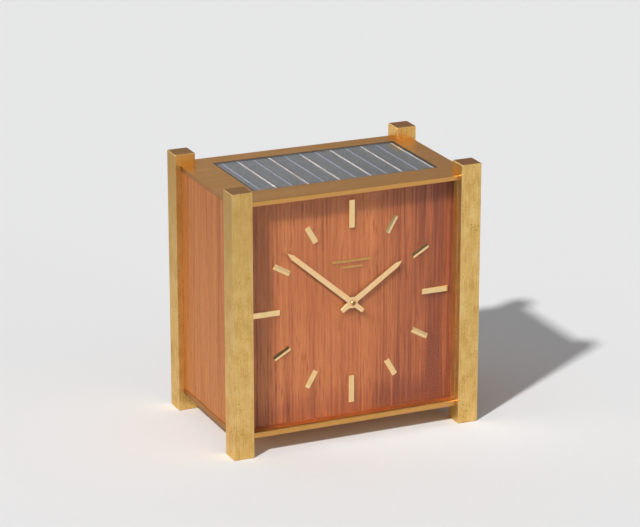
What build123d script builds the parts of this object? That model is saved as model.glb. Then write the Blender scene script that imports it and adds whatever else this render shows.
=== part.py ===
from build123d import *
import os
from math import cos, radians, sin, tan

# Desk clock driven by light: four square brass posts carry a brass top and base plate,
# wood panels close the sides, dial and back, and a geared movement stands behind the dial.
# Frame: origin on the floor in the middle of the footprint, +X right, +Y to the back,
# +Z up. All sizes are millimetres; angles are degrees.

# ---------------------------------------------------------------- case: driving sizes
case_width = 172.0
case_depth = 110.0
case_height = 176.0
post_side = 14.0
post_bevel = 0.4
post_rise = 7.6            # the posts stand this far above the top plate
floor_gap = 11.6           # underside of the base plate above the floor
base_thick = 3.7
top_thick = 3.2
plate_inset = 3.6          # plate edge behind the outer faces of the posts
plate_bevel = 0.3
fit_gap = 0.1              # play of a panel or pane in its seat
past = 1.0                 # cuts run this far past the faces they open

panel_thick = 4.0
panel_ledge = 0.8          # side panel behind the plate edge
panel_bite = 2.4           # depth of the panel groove in a post

glass_thick = 1.8
glass_setback = 4.4        # glass front behind the front faces of the posts
glass_bite = 0.8           # depth that the pane enters posts and plates

dial_setback = 11.6        # dial front behind the front faces of the posts
dial_thick = 4.0
dial_lift = 0.95           # hands' centre above the middle of the opening
dial_bore = 2.6

# ---------------------------------------------------------------- dial furniture
marker_count = 12
marker_rise = 1.2
long_marker = (3.8, 18.5, 3.9, 0.0)      # 12, 3, 6 and 9: gap to the posts, length, width, ridge
short_marker = (10.0, 12.4, 3.7, 0.6)    # the other eight; a ridge of 0 is a flat front
bar_lines = ((27.4, 1.7, 27.6), (15.2, 1.5, 23.6))   # length, height, rise over centre
bar_rise = 0.5

shown_time = (1, 51.8)     # hours, minutes
hand_thick = 0.5
hour_hand = {"tip": 42.4, "tail": 8.9, "wide": 3.7, "point": 4.6, "neck": 4.6, "boss": 2.9}
minute_hand = {"tip": 60.4, "tail": 10.0, "wide": 3.4, "point": 5.4, "neck": 3.4, "boss": 2.1}
tail_extra = 0.5           # the tail is this much wider than the blade
neck_wide = 2.0
neck_run = 1.6             # length over which the neck widens into the blade
collet_radius = 4.6        # round seat riveted behind the hour hand
collet_thick = 0.3
hour_hand_gap = 0.4        # hour hand over the markers
hand_gap = 0.5             # between the two hands
nut_radius = 1.9
nut_thick = 1.0
nut_bevel = 0.35
arbor_nose = 0.3           # centre arbor's end in front of the minute hand

# ---------------------------------------------------------------- solar window
tray_side_gap = 0.9        # cell tray inside the posts' inner faces
tray_front_gap = 0.3       # cell tray behind the battens
tray_back_gap = 3.9        # cell tray in front of the door
gasket_wide = 1.0
cover_glass_thick = 2.0
cover_glass_sunk = 0.2
window_shift = 6.5         # the left border of the window is this much wider
cell_count = 12
first_share = 0.55         # width of the left strip against the others
cell_gap = 0.45
cell_thick = 0.4
ribbon_wide = 1.1
ribbon_thick = 0.15
tray_flange = 3.6
tray_thick = 2.0

# ---------------------------------------------------------------- frame fasteners
lug_high = 9.0
lug_deep = 5.0
lug_gap = 0.4
m2_shank = 1.0
m2_head = 1.8
m2_head_high = 1.3
m2_clear = 1.1
m2_reach = 4.0             # thread length in its seat
slot_share = 0.28          # width of a screw slot against the head radius
slot_deep = 0.45           # depth of the slot against the head height
blind_share = 0.7          # depth of a blind screw hole against its plate
thread_share = 0.6         # depth that a screw fills of it
lug_screw_rise = 5.4       # frame screws above or below the plate that they hold

batten_long = 120.0
batten_side = 6.0
batten_screw_x = 50.0      # screws into the dial, clear of the cell tray
batten_screw_rise = 4.1
batten_plate_x = 25.0      # screws into the plates

# ---------------------------------------------------------------- rear door
door_thick = 5.0
door_setback = 4.0         # door face behind the rear faces of the posts
door_gap = 0.3             # round the door's edge
hinge_pin_radius = 0.8
hinge_pin_bite = 2.0       # length of the pin in its plate
hinge_sleeve_radius = 1.5
hinge_sleeve_long = 12.0
hinge_pin_reach = 9.6      # length of the pin in its sleeve
running_gap = 0.05
knob_head = (5.0, 2.0)     # radius, thickness
knob_stem = (2.4, 1.4)
knob_round = 0.8
knob_inset = 9.0
magnet_size = (8.0, 4.0, 14.0)
catch_plate_thick = 0.5
catch_gap = 0.1

# ---------------------------------------------------------------- movement: plates
front_plate_side = 92.0
back_plate_side = 80.0
movement_plate_thick = 2.0
plate_round = 4.0
plate_space = 24.0         # clear height between the plates
foot_long = 5.4            # dial back to front plate
foot_radius = 3.0
foot_inset = 2.8
pillar_radius = 2.5
pillar_inset = 4.0
pivot_radius = 0.4
pivot_gap = 0.05
end_shake = 0.15
pivot_sunk = 0.4
arbor_radius = 0.6
centre_arbor_radius = 0.75
barrel_arbor_radius = 1.5
setting_arbor_radius = 1.0

# ---------------------------------------------------------------- gears
wheel_form = {"addendum": 0.8, "dedendum": 0.9, "width": 0.42, "tip": 0.45}
leaf_form = {"addendum": 0.5, "dedendum": 1.2, "width": 0.34, "tip": 0.5}
drive_module = 0.5
third_module = 0.4
fourth_module = 0.3
hour_module = 0.48
barrel_teeth = 84
centre_leaves = 12
centre_teeth = 64
third_leaves = 8
third_teeth = 60
fourth_leaves = 8
fourth_teeth = 80
escape_leaves = 8
escape_teeth = 15
cannon_leaves = 12
minute_teeth = 36
minute_leaves = 10
hour_teeth = 40
setting_leaves = 12
winding_teeth = 60
motor_leaves = 12

barrel_angle = 225.0       # directions between arbors, from +X towards +Z
third_angle = 100.0
fourth_angle = 20.0
escape_angle = -20.0
lever_angle = -60.0
minute_angle = 0.0
setting_angle = -60.0
motor_angle = 60.0

wheel_thick = 1.0
leaf_over = 1.0            # a pinion stands this far past the wheel that it meets
short_over = 0.4           # the same where there is less room
window_count = 5           # round windows in the web of a wheel
window_ring = 0.58         # their places and radii against the wheel's radius
window_hole = 0.22
centre_wheel_level = 17.0  # front faces of the wheels behind the front plate
third_wheel_level = 10.0
fourth_wheel_level = 5.0
barrel_level = 2.0
drum_radius = 19.0
drum_wall = 1.4
drum_floor = 1.2
drum_long = 13.0
spring_core = 3.6
spring_turns = 6
spring_strip = 0.4
spring_play = 0.35

# ---------------------------------------------------------------- escapement
escape_tip = 5.0
escape_root = 3.9
escape_slant = (0, 8, 11, 14)        # turn of a tooth's foot, tip, tip and foot, degrees
escape_level = 8.0
escape_thick = 0.8
lever_to_escape = 6.0
lever_to_balance = 8.0
lever_gap = 0.35           # pallet tips outside the escape wheel's tips
lever_reach = 5.1          # pivot to the forked end
fork_half = 1.1            # half width and length of the forked end
fork_long = 1.4
notch_half = 0.45          # half width and depth of its notch
notch_deep = 0.8
stem_half = 0.45
pallet_wide = 0.7
pallet_angle = 30.0        # pallets stand this far off the line to the escape wheel
lever_staff_radius = 0.5
bridge_reach = 7.0
bridge_level = 11.0
bridge_thick = 1.2
bridge_wide = 2.8
bridge_screw = (0.6, 1.1, 0.7)       # shank radius, head radius, head height
balance_radius = 9.5
balance_rim = 1.2
balance_level = 14.0
balance_thick = 1.4
balance_spoke = 1.2
balance_hub = 1.5
roller_radius = 2.8
roller_level = 6.4
roller_thick = 0.8
impulse_radius = 2.2
impulse_pin = 0.25
impulse_long = 2.8         # roller front to the end of the pin
hairspring_level = 16.8
hairspring_thick = 0.6
hairspring_strip = 0.18
hairspring_turns = 6
hairspring_radius = 5.6
stud_radius = 0.5

# ---------------------------------------------------------------- motion work
hub_tube_wall = 0.5
tube_gap = 0.06
hour_tube_wall = 0.65
minute_wheel_level = 1.2   # rear face in front of the front plate
hour_wheel_level = 3.8
hour_wheel_thick = 0.8
minute_stud_radius = 0.8
minute_hub_radius = 1.6
cannon_over = 0.2          # cannon leaves behind the minute wheel's rear face
cannon_lead = 0.7          # and in front of its front face
cannon_sunk = 0.2          # cannon tube's end behind the front of the hand nut

# ---------------------------------------------------------------- winding motor
motor_radius = 10.0
motor_long = 28.0
motor_shaft_radius = 0.75
winding_wheel_level = 1.0  # front face behind the back plate
bracket_level = 3.5
bracket_thick = 1.5
bracket_box = (-28.0, 12.0, -12.0, 15.0)     # x and z limits from the hands' centre
bracket_posts = ((-25.0, 12.0), (9.0, 12.0), (9.0, -9.0))
bracket_post_radius = 2.2
motor_screw_spread = 6.5
motor_round = 1.5
motor_shaft_in = 3.8       # shaft inside the can
motor_shaft_play = 0.2     # between its end and the bottom of its bore
motor_screw = (0.8, 1.4, 0.8)        # shank radius, head radius, head height
motor_screw_bite = 2.8
motor_leaf_over = 0.3
shaft_window = 4.2         # hole in the bracket round the motor's leaves
knob_radius = 8.0
knob_long = 7.0
knob_reach = 26.0          # knob front behind the back plate
knob_flutes = 20
knob_flute = (0.9, 0.5)    # radius of a flute, and its centre outside the rim
knob_bevel = 0.8
knob_bite = 3.0            # depth of the arbor in the knob
setting_collar = (2.0, 1.2)          # radius, and rear face behind the back plate
setting_nose = 0.6         # arbor's end in front of its leaves

# ---------------------------------------------------------------- accumulators
cell_radius = 7.1
cell_long = 50.6
cell_nub = (2.5, 1.0)
cell_round = 0.8
cell_side_gap = 1.8        # between the two cells
cell_edge_gap = 0.5        # between a cell and the holder's rim
holder_floor = 2.0
holder_wall = 3.6
holder_wall_high = 12.0    # end walls above the holder's floor
holder_rim = 1.6           # side rims: thickness and height
holder_rim_high = 5.0
holder_screw_x = 14.0
contact_thick = 0.6
contact_half = 4.0
contact_high = 13.8
holder_back_gap = 2.8      # holder in front of the door

# ---------------------------------------------------------------- charging board
board_size = (28.0, 36.0, 1.6)
board_side_gap = 7.6       # board beside the left panel
board_back_gap = 6.0       # and in front of the door
board_inset = 3.0
board_post = (2.0, 4.0)    # radius, height
capacitor = (3.6, 13.0)    # radius and length of the parts on the board
resistor = (1.2, 6.5)
diode = (1.4, 5.0)
capacitor_spot = (-8.0, -10.0)       # their left ends from the middle of the board
resistor_spots = ((-8.0, 9.0), (-8.0, 4.5))
diode_spot = (3.0, 9.0)
lead_radius = 0.6
arc_share = 0.45           # part of the shorter run that a lead's arc may use
# cell leads: points across and back from the middle of the board, and below the cell tray
cell_lead_points = ((-4, 6, 0), (-4, 6, 16), (-12, 5, 36), (-15, 3, 68), (-14, 5, 102))
cell_lead_end = (-4, -1, 16)         # across, back and above the board
cell_lead_step = (4.0, 1.5, 0)       # second lead of the pair
# motor leads: points across from the motor's axis, in front of the door, and below the axis
motor_lead_points = ((-3, 10, 0), (-13, 6.5, 15), (-27, 10, 33))
motor_lead_drop = (12, 3, 49)        # across from the board, in front of the can's end, below
motor_lead_end = (10, -9, 9)         # across, back and above the board
motor_lead_step = (2.2, 0, 0.8)
# battery leads: run from a contact strip, share of the way to the board, height
battery_lead_points = ((6, 0.4, 9.5), (-5, 0.8, 7))
battery_lead_rise = 6.0
battery_lead_x = 10.0                # across from the middle of the board
battery_lead_ends = (-1, 4)          # back from it

# ---------------------------------------------------------------- places worked out
half_x = case_width / 2
half_y = case_depth / 2
post_in_x = half_x - post_side
post_in_y = half_y - post_side
plate_half_x = half_x - plate_inset
plate_half_y = half_y - plate_inset
base_top = floor_gap + base_thick
top_face = case_height - post_rise
top_under = top_face - top_thick
panel_out = plate_half_x - panel_ledge
panel_in = panel_out - panel_thick
glass_front = -half_y + glass_setback
glass_back = glass_front + glass_thick
dial_front = -half_y + dial_setback
dial_back = dial_front + dial_thick
centre_z = (base_top + top_under) / 2 + dial_lift
door_back = half_y - door_setback
door_front = door_back - door_thick
door_half = post_in_x - door_gap
hinge_x = -door_half + door_thick / 2
hinge_y = door_front + door_thick / 2
tray_edge = gasket_wide + tray_flange
window_right = post_in_x - tray_side_gap - tray_edge
window_left = window_shift - window_right
window_x = (window_left + window_right) / 2
window_half_x = (window_right - window_left) / 2
cell_pitch = (window_right - window_left) / (cell_count - 1 + first_share)
window_front = dial_back + batten_side + tray_front_gap + tray_edge
window_back = door_front - tray_back_gap - tray_edge
window_y = (window_front + window_back) / 2
window_half_y = (window_back - window_front) / 2
board_centre = (
    -panel_in + board_side_gap + board_size[0] / 2, door_front - board_back_gap - board_size[1] / 2
)

front_plate_front = dial_back + foot_long
front_plate_back = front_plate_front + movement_plate_thick
back_plate_front = front_plate_back + plate_space
back_plate_back = back_plate_front + movement_plate_thick

hour_front = dial_front - marker_rise - hour_hand_gap - hand_thick
minute_front = hour_front - hand_gap - hand_thick
nut_front = minute_front - nut_thick
cannon_bore = centre_arbor_radius + running_gap
cannon_radius = cannon_bore + hub_tube_wall
hour_bore = cannon_radius + tube_gap
hour_radius = hour_bore + hour_tube_wall


# ================================================================ helpers
def block(x0, x1, y0, y1, z0, z1):
    """Box between two corners."""
    return Pos(x0, y0, z0) * Box(x1 - x0, y1 - y0, z1 - z0, align=(Align.MIN,) * 3)


def along(point, out, shape):
    """Place a shape made about Z so that its +Z looks along out."""
    return Plane(origin=point, z_dir=out).location * shape


def rod(point, out, radius, length):
    """Cylinder that starts at a point and runs along out."""
    base = Cylinder(radius, length, align=(Align.CENTER, Align.CENTER, Align.MIN))
    return along(point, out, base)


def rod_y(spot, radius, y0, y1):
    """Cylinder along Y about an arbor's place (x, z)."""
    return rod((spot[0], y0, spot[1]), (0, 1, 0), radius, y1 - y0)


def sheet_y(points, y0, y1):
    """Flat piece with an outline in X and Z, from y0 to y1."""
    face = Plane((0, y1, 0), x_dir=(1, 0, 0), z_dir=(0, -1, 0)) * Polygon(*points, align=None)
    return extrude(face, amount=y1 - y0, dir=(0, -1, 0))


def screw(point, out, length, shank=m2_shank, head=m2_head, high=m2_head_high):
    """Cheese-head screw whose head seats at a point and looks along out."""
    slot = Box(3 * head, slot_share * head, high, align=(Align.CENTER, Align.CENTER, Align.MIN))
    top = Cylinder(head, high, align=(Align.CENTER, Align.CENTER, Align.MIN))
    stem = Cylinder(shank, length, align=(Align.CENTER, Align.CENTER, Align.MAX))
    return along(point, out, stem + top - Pos(0, 0, high * (1 - slot_deep)) * slot)


def polar(start, distance, angle):
    """Point at a distance and direction from another, in X and Z."""
    return (
        start[0] + distance * cos(radians(angle)),
        start[1] + distance * sin(radians(angle)),
    )


def save(name, *solids):
    """Write one node; several solids stay separate in it."""
    shape = solids[0] if len(solids) == 1 else Compound(children=list(solids))
    shape.label = name
    export_step(shape, f"parts/{name}.step")


def corners(x, y):
    """The four sign pairs of a rectangle, scaled."""
    return [(sx * x, sy * y) for sx in (-1, 1) for sy in (-1, 1)]


# ================================================================ gear helpers
def ring_of_teeth(spot, teeth, module, phase, form):
    """Outline of a gear: radial flanks below the pitch line, narrowing tips above it."""
    pitch = teeth * module / 2
    half = form["width"] * 180 / teeth
    root = pitch - form["dedendum"] * module
    tip = pitch + form["addendum"] * module
    points = []
    for tooth in range(teeth):
        middle = phase + tooth * 360 / teeth
        for radius, offset in (
            (root, -half), (pitch, -half), (tip, -half * form["tip"]),
            (tip, half * form["tip"]), (pitch, half), (root, half),
        ):
            points.append(polar(spot, radius, middle + offset))
    return points


def gear(spot, teeth, module, phase, form, y0, thick):
    """Solid gear from y0 towards the back."""
    return sheet_y(ring_of_teeth(spot, teeth, module, phase, form), y0, y0 + thick)


def crossed(solid, spot, radius, y0, thick):
    """Cut a ring of round windows in the web of a wheel of this radius."""
    for step in range(window_count):
        place = polar(spot, radius * window_ring, step * 360 / window_count + 90)
        solid -= rod_y(place, radius * window_hole, y0 - past, y0 + thick + past)
    return solid


def distance(teeth_a, teeth_b, module):
    return (teeth_a + teeth_b) * module / 2


def meshed(angle, teeth_a, phase_a, teeth_b):
    """Phase of gear B, at a direction from gear A, so that a tooth meets a gap."""
    step_a = 360 / teeth_a
    behind = ((angle - phase_a) % step_a) / step_a
    step_b = 360 / teeth_b
    return angle + 180 + behind * step_b + step_b / 2


def arbor(spot):
    """Steel arbor with a pivot in each movement plate."""
    shaft = rod_y(spot, arbor_radius, front_plate_back + end_shake, back_plate_front - end_shake)
    pivot = rod_y(spot, pivot_radius, front_plate_front + pivot_sunk, back_plate_back - pivot_sunk)
    return shaft + pivot


# ---------------------------------------------------------------- arbor places
centre = (0.0, centre_z)
barrel_at = polar(centre, distance(barrel_teeth, centre_leaves, drive_module), barrel_angle)
third_at = polar(centre, distance(centre_teeth, third_leaves, drive_module), third_angle)
fourth_at = polar(third_at, distance(third_teeth, fourth_leaves, third_module), fourth_angle)
escape_at = polar(fourth_at, distance(fourth_teeth, escape_leaves, fourth_module), escape_angle)
lever_at = polar(escape_at, lever_to_escape, lever_angle)
balance_at = polar(lever_at, lever_to_balance, lever_angle)
minute_at = polar(centre, distance(cannon_leaves, minute_teeth, drive_module), minute_angle)
setting_at = polar(
    minute_at, distance(minute_teeth, setting_leaves, drive_module), setting_angle
)
motor_at = polar(barrel_at, distance(winding_teeth, motor_leaves, drive_module), motor_angle)

foot_spots = [(x, centre_z + z) for x, z in corners(*[front_plate_side / 2 - foot_inset] * 2)]
pillar_spots = [(x, centre_z + z) for x, z in corners(*[back_plate_side / 2 - pillar_inset] * 2)]
bracket_spots = [(centre[0] + x, centre_z + z) for x, z in bracket_posts]


# ================================================================ case
def lug_screw_spots():
    """Screw places of the eight lugs: x, y of the lug's free face, z, outward sign of y."""
    lug_x = (post_in_x + panel_in) / 2
    for z in (base_top + lug_screw_rise, top_under - lug_screw_rise):
        for x, side in corners(lug_x, 1):
            yield x, side * (post_in_y - lug_deep), z, side


def post(side_x, side_y):
    """Square bar that is foot, corner and frame; grooves take the panel and the glass."""
    bar = Box(post_side, post_side, case_height, align=(Align.CENTER, Align.CENTER, Align.MIN))
    bar = chamfer(bar.edges(), post_bevel)
    middle_x = side_x * (half_x - post_side / 2)
    middle_y = side_y * (half_y - post_side / 2)
    bar = Pos(middle_x, middle_y, 0) * bar
    groove_x = sorted((side_x * (panel_in - fit_gap), side_x * (panel_out + fit_gap)))
    groove_y = sorted((side_y * post_in_y, side_y * (post_in_y + panel_bite)))
    bar -= block(*groove_x, *groove_y, base_top, top_under)
    if side_y < 0:
        slot_x = sorted((side_x * post_in_x, side_x * (post_in_x + glass_bite + fit_gap)))
        bar -= block(
            *slot_x, glass_front - fit_gap, glass_back + fit_gap,
            base_top - glass_bite - fit_gap, top_under + glass_bite + fit_gap,
        )
    for x, y, z, side in lug_screw_spots():
        if x * side_x > 0 and side == side_y:
            bar -= rod((x, y, z), (0, side, 0), m2_shank, lug_deep + m2_reach)
    return bar


def plate(z0, z1, lug_z0, lug_z1):
    """Flat plate notched round the posts, with a screw lug beside each post."""
    slab = block(-plate_half_x, plate_half_x, -plate_half_y, plate_half_y, z0, z1)
    slab = chamfer(slab.edges(), plate_bevel)
    for x, y in corners(half_x - post_side / 2, half_y - post_side / 2):
        half = post_side / 2
        slab -= block(x - half, x + half, y - half, y + half, z0 - past, z1 + past)
    lug_x0, lug_x1 = post_in_x + lug_gap, panel_in - lug_gap
    for side_x, side_y in corners(1, 1):
        span_x = sorted((side_x * lug_x0, side_x * lug_x1))
        span_y = sorted((side_y * (post_in_y - lug_deep), side_y * post_in_y))
        slab += block(*span_x, *span_y, lug_z0, lug_z1)
    for x, y, z, side in lug_screw_spots():
        if lug_z0 < z < lug_z1:
            slab -= rod((x, y, z), (0, side, 0), m2_clear, lug_deep)
    return slab


def pane_groove(z0, z1):
    """Groove for the front glass in a plate."""
    return block(-post_in_x, post_in_x, glass_front - fit_gap, glass_back + fit_gap, z0, z1)


def tray_screw_spots():
    """Places of the screws that hold the cell tray under the top plate."""
    out = gasket_wide + tray_flange / 2
    rows = corners(window_half_x / 2, window_half_y + out)
    spots = [(window_x + a, window_y + b) for a, b in rows]
    return spots + [(window_left - out, window_y), (window_right + out, window_y)]


def batten_screw_spots():
    """Places of the upright screws that hold the dial battens to the plates."""
    return [(side * batten_plate_x, dial_back + batten_side / 2) for side in (-1, 1)]


def top_plate():
    slab = plate(top_under, top_face, top_under - lug_high, top_under)
    slab -= window_block(gasket_wide, top_under - past, top_face + past)
    slab -= pane_groove(top_under, top_under + glass_bite + fit_gap)
    blind = top_thick * blind_share
    for x, y in tray_screw_spots() + batten_screw_spots():
        slab -= rod((x, y, top_under), (0, 0, 1), m2_shank, blind)
    slab -= rod((hinge_x, hinge_y, top_under), (0, 0, 1), hinge_pin_radius, hinge_pin_bite)
    return slab


def base_plate():
    slab = plate(floor_gap, base_top, base_top, base_top + lug_high)
    slab -= pane_groove(base_top - glass_bite - fit_gap, base_top)
    blind = base_thick * blind_share
    spots = batten_screw_spots() + holder_screw_spots() + board_screw_spots()
    for x, y in spots:
        slab -= rod((x, y, base_top), (0, 0, -1), m2_shank, blind)
    slab -= rod((hinge_x, hinge_y, base_top), (0, 0, -1), hinge_pin_radius, hinge_pin_bite)
    return slab


def frame_screws():
    return [
        screw((x, y, z), (0, -side, 0), lug_deep + m2_reach)
        for x, y, z, side in lug_screw_spots()
    ]


def side_panel(side):
    span_x = sorted((side * panel_in, side * panel_out))
    reach = post_in_y + panel_bite - fit_gap
    return block(*span_x, -reach, reach, base_top + fit_gap, top_under - fit_gap)


def front_glass():
    half = post_in_x + glass_bite
    return block(
        -half, half, glass_front, glass_back, base_top - glass_bite, top_under + glass_bite
    )


# ================================================================ dial
def dial_panel():
    half = post_in_x - fit_gap
    panel = block(-half, half, dial_front, dial_back, base_top + fit_gap, top_under - fit_gap)
    panel -= rod_y(centre, dial_bore, dial_front - past, dial_back + past)
    for spot in foot_spots:
        panel -= rod((spot[0], dial_back, spot[1]), (0, -1, 0), m2_shank, m2_reach / 2)
    for x, z in dial_screw_spots():
        panel -= rod((x, dial_back, z), (0, -1, 0), m2_shank, m2_reach / 2)
    return panel


def dial_screw_spots():
    """Level screws through the battens into the back of the dial."""
    low = base_top + batten_screw_rise
    high = top_under - batten_screw_rise
    return [(side * batten_screw_x, z) for side in (-1, 1) for z in (low, high)]


def dial_battens():
    """Square bars that tie the dial to both plates."""
    bars = []
    for z0 in (base_top, top_under - batten_side):
        half = batten_long / 2
        bar = block(-half, half, dial_back, dial_back + batten_side, z0, z0 + batten_side)
        for x, z in dial_screw_spots():
            bar -= rod((x, dial_back - past, z), (0, 1, 0), m2_clear, batten_side + 2 * past)
        for x, y in batten_screw_spots():
            bar -= rod((x, y, z0 - past), (0, 0, 1), m2_clear, batten_side + 2 * past)
        bars.append(bar)
    return bars


def dial_screws():
    """Screws of the battens: four into the dial, two into each plate."""
    reach = batten_side + m2_reach / 2
    screws = [
        screw((x, dial_back + batten_side, z), (0, 1, 0), reach) for x, z in dial_screw_spots()
    ]
    for x, y in batten_screw_spots():
        screws.append(screw((x, y, base_top + batten_side), (0, 0, 1), reach))
        screws.append(screw((x, y, top_under - batten_side), (0, 0, -1), reach))
    return screws


def hour_marker(form, clock_angle):
    """Bar that points away from the hands' centre, with a flat or a ridged front."""
    gap, long, wide, ridge = form
    ray = 90 - clock_angle
    inner = polar(centre, post_in_x - gap - long, ray)
    out, side = polar((0, 0), 1, ray), polar((0, 0), 1, ray + 90)
    eave = marker_rise - ridge
    section = [(-wide / 2, 0), (wide / 2, 0), (wide / 2, eave), (-wide / 2, eave)]
    if ridge:
        section.insert(3, (0, marker_rise))
    seat = Plane(
        (inner[0], dial_front, inner[1]), x_dir=(side[0], 0, side[1]), z_dir=(out[0], 0, out[1])
    )
    return extrude(seat * Polygon(*section, align=None), amount=long)


def hour_markers():
    return [
        hour_marker(long_marker if hour % 3 == 0 else short_marker, hour * 360 / marker_count)
        for hour in range(marker_count)
    ]


def dial_bars():
    """Two plain applied bars under the twelve."""
    bars = []
    for long, high, rise in bar_lines:
        middle = centre_z + rise
        bars.append(block(
            -long / 2, long / 2, dial_front - bar_rise, dial_front,
            middle - high / 2, middle + high / 2,
        ))
    return bars


def hand(form, clock_angle, bore, y0):
    """Flat hand: pointed blade, narrow neck, round boss and squared tail."""
    blade, tail, neck = form["wide"] / 2, (form["wide"] + tail_extra) / 2, neck_wide / 2
    reach = form["neck"]
    half = [
        (-form["tail"], tail), (-reach, tail), (-reach, neck),
        (reach, neck), (reach + neck_run, blade), (form["tip"] - form["point"], blade),
    ]
    outline = half + [(form["tip"], 0)] + [(u, -v) for u, v in reversed(half)]
    ray = 90 - clock_angle
    points = [polar(polar(centre, u, ray), v, ray + 90) for u, v in outline]
    solid = sheet_y(points, y0, y0 + hand_thick)
    solid += rod_y(centre, form["boss"], y0, y0 + hand_thick)
    return solid - rod_y(centre, bore, y0 - past, y0 + hand_thick + past)


def hour_hand_solid():
    """Hour hand riveted to a round collet."""
    turn = (shown_time[0] + shown_time[1] / 60) * 30
    back = hour_front + hand_thick
    collet = rod_y(centre, collet_radius, back, back + collet_thick)
    collet -= rod_y(centre, hour_radius, hour_front, back + collet_thick + past)
    return hand(hour_hand, turn, hour_radius, hour_front) + collet


def minute_hand_solid():
    return hand(minute_hand, shown_time[1] * 6, cannon_radius, minute_front)


def hand_nut():
    nut = rod_y(centre, nut_radius, nut_front, minute_front)
    nut = chamfer(nut.faces().sort_by(Axis.Y)[0].edges(), nut_bevel)
    return nut - rod_y(centre, cannon_radius, nut_front - past, minute_front + past)


# ================================================================ solar window
def cover_glass_under():
    return top_face - cover_glass_sunk - cover_glass_thick


def window_block(grow, z0, z1):
    return block(
        window_left - grow, window_right + grow, window_front - grow, window_back + grow, z0, z1
    )


def cell_gasket():
    """Dark rubber ring between the plate and the cover glass."""
    low, high = top_under, top_face - cover_glass_sunk
    return window_block(gasket_wide, low, high) - window_block(0, low - past, high + past)


def cell_edges():
    """Left edge of each strip and the right edge of the last; the first strip is narrower."""
    return [window_left] + [window_right - n * cell_pitch for n in reversed(range(cell_count))]


def solar_cells():
    """Twelve silicon strips side by side under the glass."""
    high = cover_glass_under() - ribbon_thick
    y0, y1 = window_front + cell_gap, window_back - cell_gap
    edges, half_gap = cell_edges(), cell_gap / 2
    return [
        block(x0 + half_gap, x1 - half_gap, y0, y1, high - cell_thick, high)
        for x0, x1 in zip(edges, edges[1:])
    ]


def cell_ribbons():
    """Bus strip along the right edge of each cell."""
    low = cover_glass_under() - ribbon_thick
    y0, y1 = window_front + 2 * cell_gap, window_back - 2 * cell_gap
    return [
        block(x1 - cell_gap - ribbon_wide, x1 - cell_gap, y0, y1, low, low + ribbon_thick)
        for x1 in cell_edges()[1:]
    ]


def cell_tray():
    """Tray that presses cells and glass up into the window from below."""
    seat = cover_glass_under() - ribbon_thick - cell_thick
    low = top_under - tray_thick
    tray = window_block(gasket_wide + tray_flange, low, top_under)
    tray += window_block(-fit_gap, top_under, seat)
    for x, y in tray_screw_spots():
        tray -= rod((x, y, low - past), (0, 0, 1), m2_clear, tray_thick + 2 * past)
    return tray


def tray_screws():
    low = top_under - tray_thick
    return [
        screw((x, y, low), (0, 0, -1), tray_thick + top_thick * thread_share)
        for x, y in tray_screw_spots()
    ]


# ================================================================ rear door
def rear_door():
    """Wood door whose hinge edge is rounded about the hinge pins."""
    low, high = base_top + door_gap, top_under - door_gap
    door = block(hinge_x, door_half, door_front, door_back, low, high)
    door += rod((hinge_x, hinge_y, low), (0, 0, 1), door_thick / 2, high - low)
    for z in (low, high - hinge_sleeve_long):
        door -= rod((hinge_x, hinge_y, z), (0, 0, 1), hinge_sleeve_radius, hinge_sleeve_long)
    return door


def hinge_sleeves():
    low, high = base_top + door_gap, top_under - door_gap
    sleeves = []
    for z in (low, high - hinge_sleeve_long):
        sleeve = rod((hinge_x, hinge_y, z), (0, 0, 1), hinge_sleeve_radius, hinge_sleeve_long)
        bore_radius = hinge_pin_radius + running_gap
        bore_long = hinge_sleeve_long + 2 * past
        sleeves.append(sleeve - rod((hinge_x, hinge_y, z - past), (0, 0, 1), bore_radius, bore_long))
    return sleeves


def hinge_pins():
    """Pins pressed into both plates, turning in the door's sleeves."""
    long = hinge_pin_bite + door_gap + hinge_pin_reach
    low = rod((hinge_x, hinge_y, base_top - hinge_pin_bite), (0, 0, 1), hinge_pin_radius, long)
    high = rod((hinge_x, hinge_y, top_under + hinge_pin_bite), (0, 0, -1), hinge_pin_radius, long)
    return [low, high]


def door_knob():
    spot = (door_half - knob_inset, centre_z)
    stem_radius, stem_long = knob_stem
    head_radius, head_long = knob_head
    head_front = door_back + stem_long
    head = rod_y(spot, head_radius, head_front, head_front + head_long)
    head = fillet(head.faces().sort_by(Axis.Y)[-1].edges(), knob_round)
    return head + rod_y(spot, stem_radius, door_back, head_front + knob_round)


def catch_block(x1, y1, deep):
    """Upright block at the middle of the door's free edge."""
    long, high = magnet_size[0], magnet_size[2]
    return block(x1 - long, x1, y1 - deep, y1, centre_z - high / 2, centre_z + high / 2)


def catch_magnet():
    """Magnet block fixed to the inner face of the rear right post."""
    return catch_block(post_in_x, door_front - catch_plate_thick - catch_gap, magnet_size[1])


def catch_plate():
    return catch_block(door_half - door_gap, door_front, catch_plate_thick)


# ================================================================ movement frame
def square_plate(side, y0, y1):
    base = Box(side, movement_plate_thick, side)
    base = fillet(base.edges().filter_by(Axis.Y), plate_round)
    return Pos(0, (y0 + y1) / 2, centre_z) * base


def bearing_holes():
    """Holes that both movement plates share."""
    small = pivot_radius + pivot_gap
    holes = [(spot, small) for spot in (third_at, fourth_at, escape_at, balance_at)]
    holes.append((barrel_at, barrel_arbor_radius + pivot_gap))
    holes.append((setting_at, setting_arbor_radius + pivot_gap))
    return holes


def drilled(slab, holes, y0, y1):
    for spot, radius in holes:
        slab -= rod_y(spot, radius, y0 - past, y1 + past)
    return slab


def bridge_foot_spots():
    return [polar(lever_at, bridge_reach, lever_angle + turn) for turn in (90, -90)]


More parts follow.
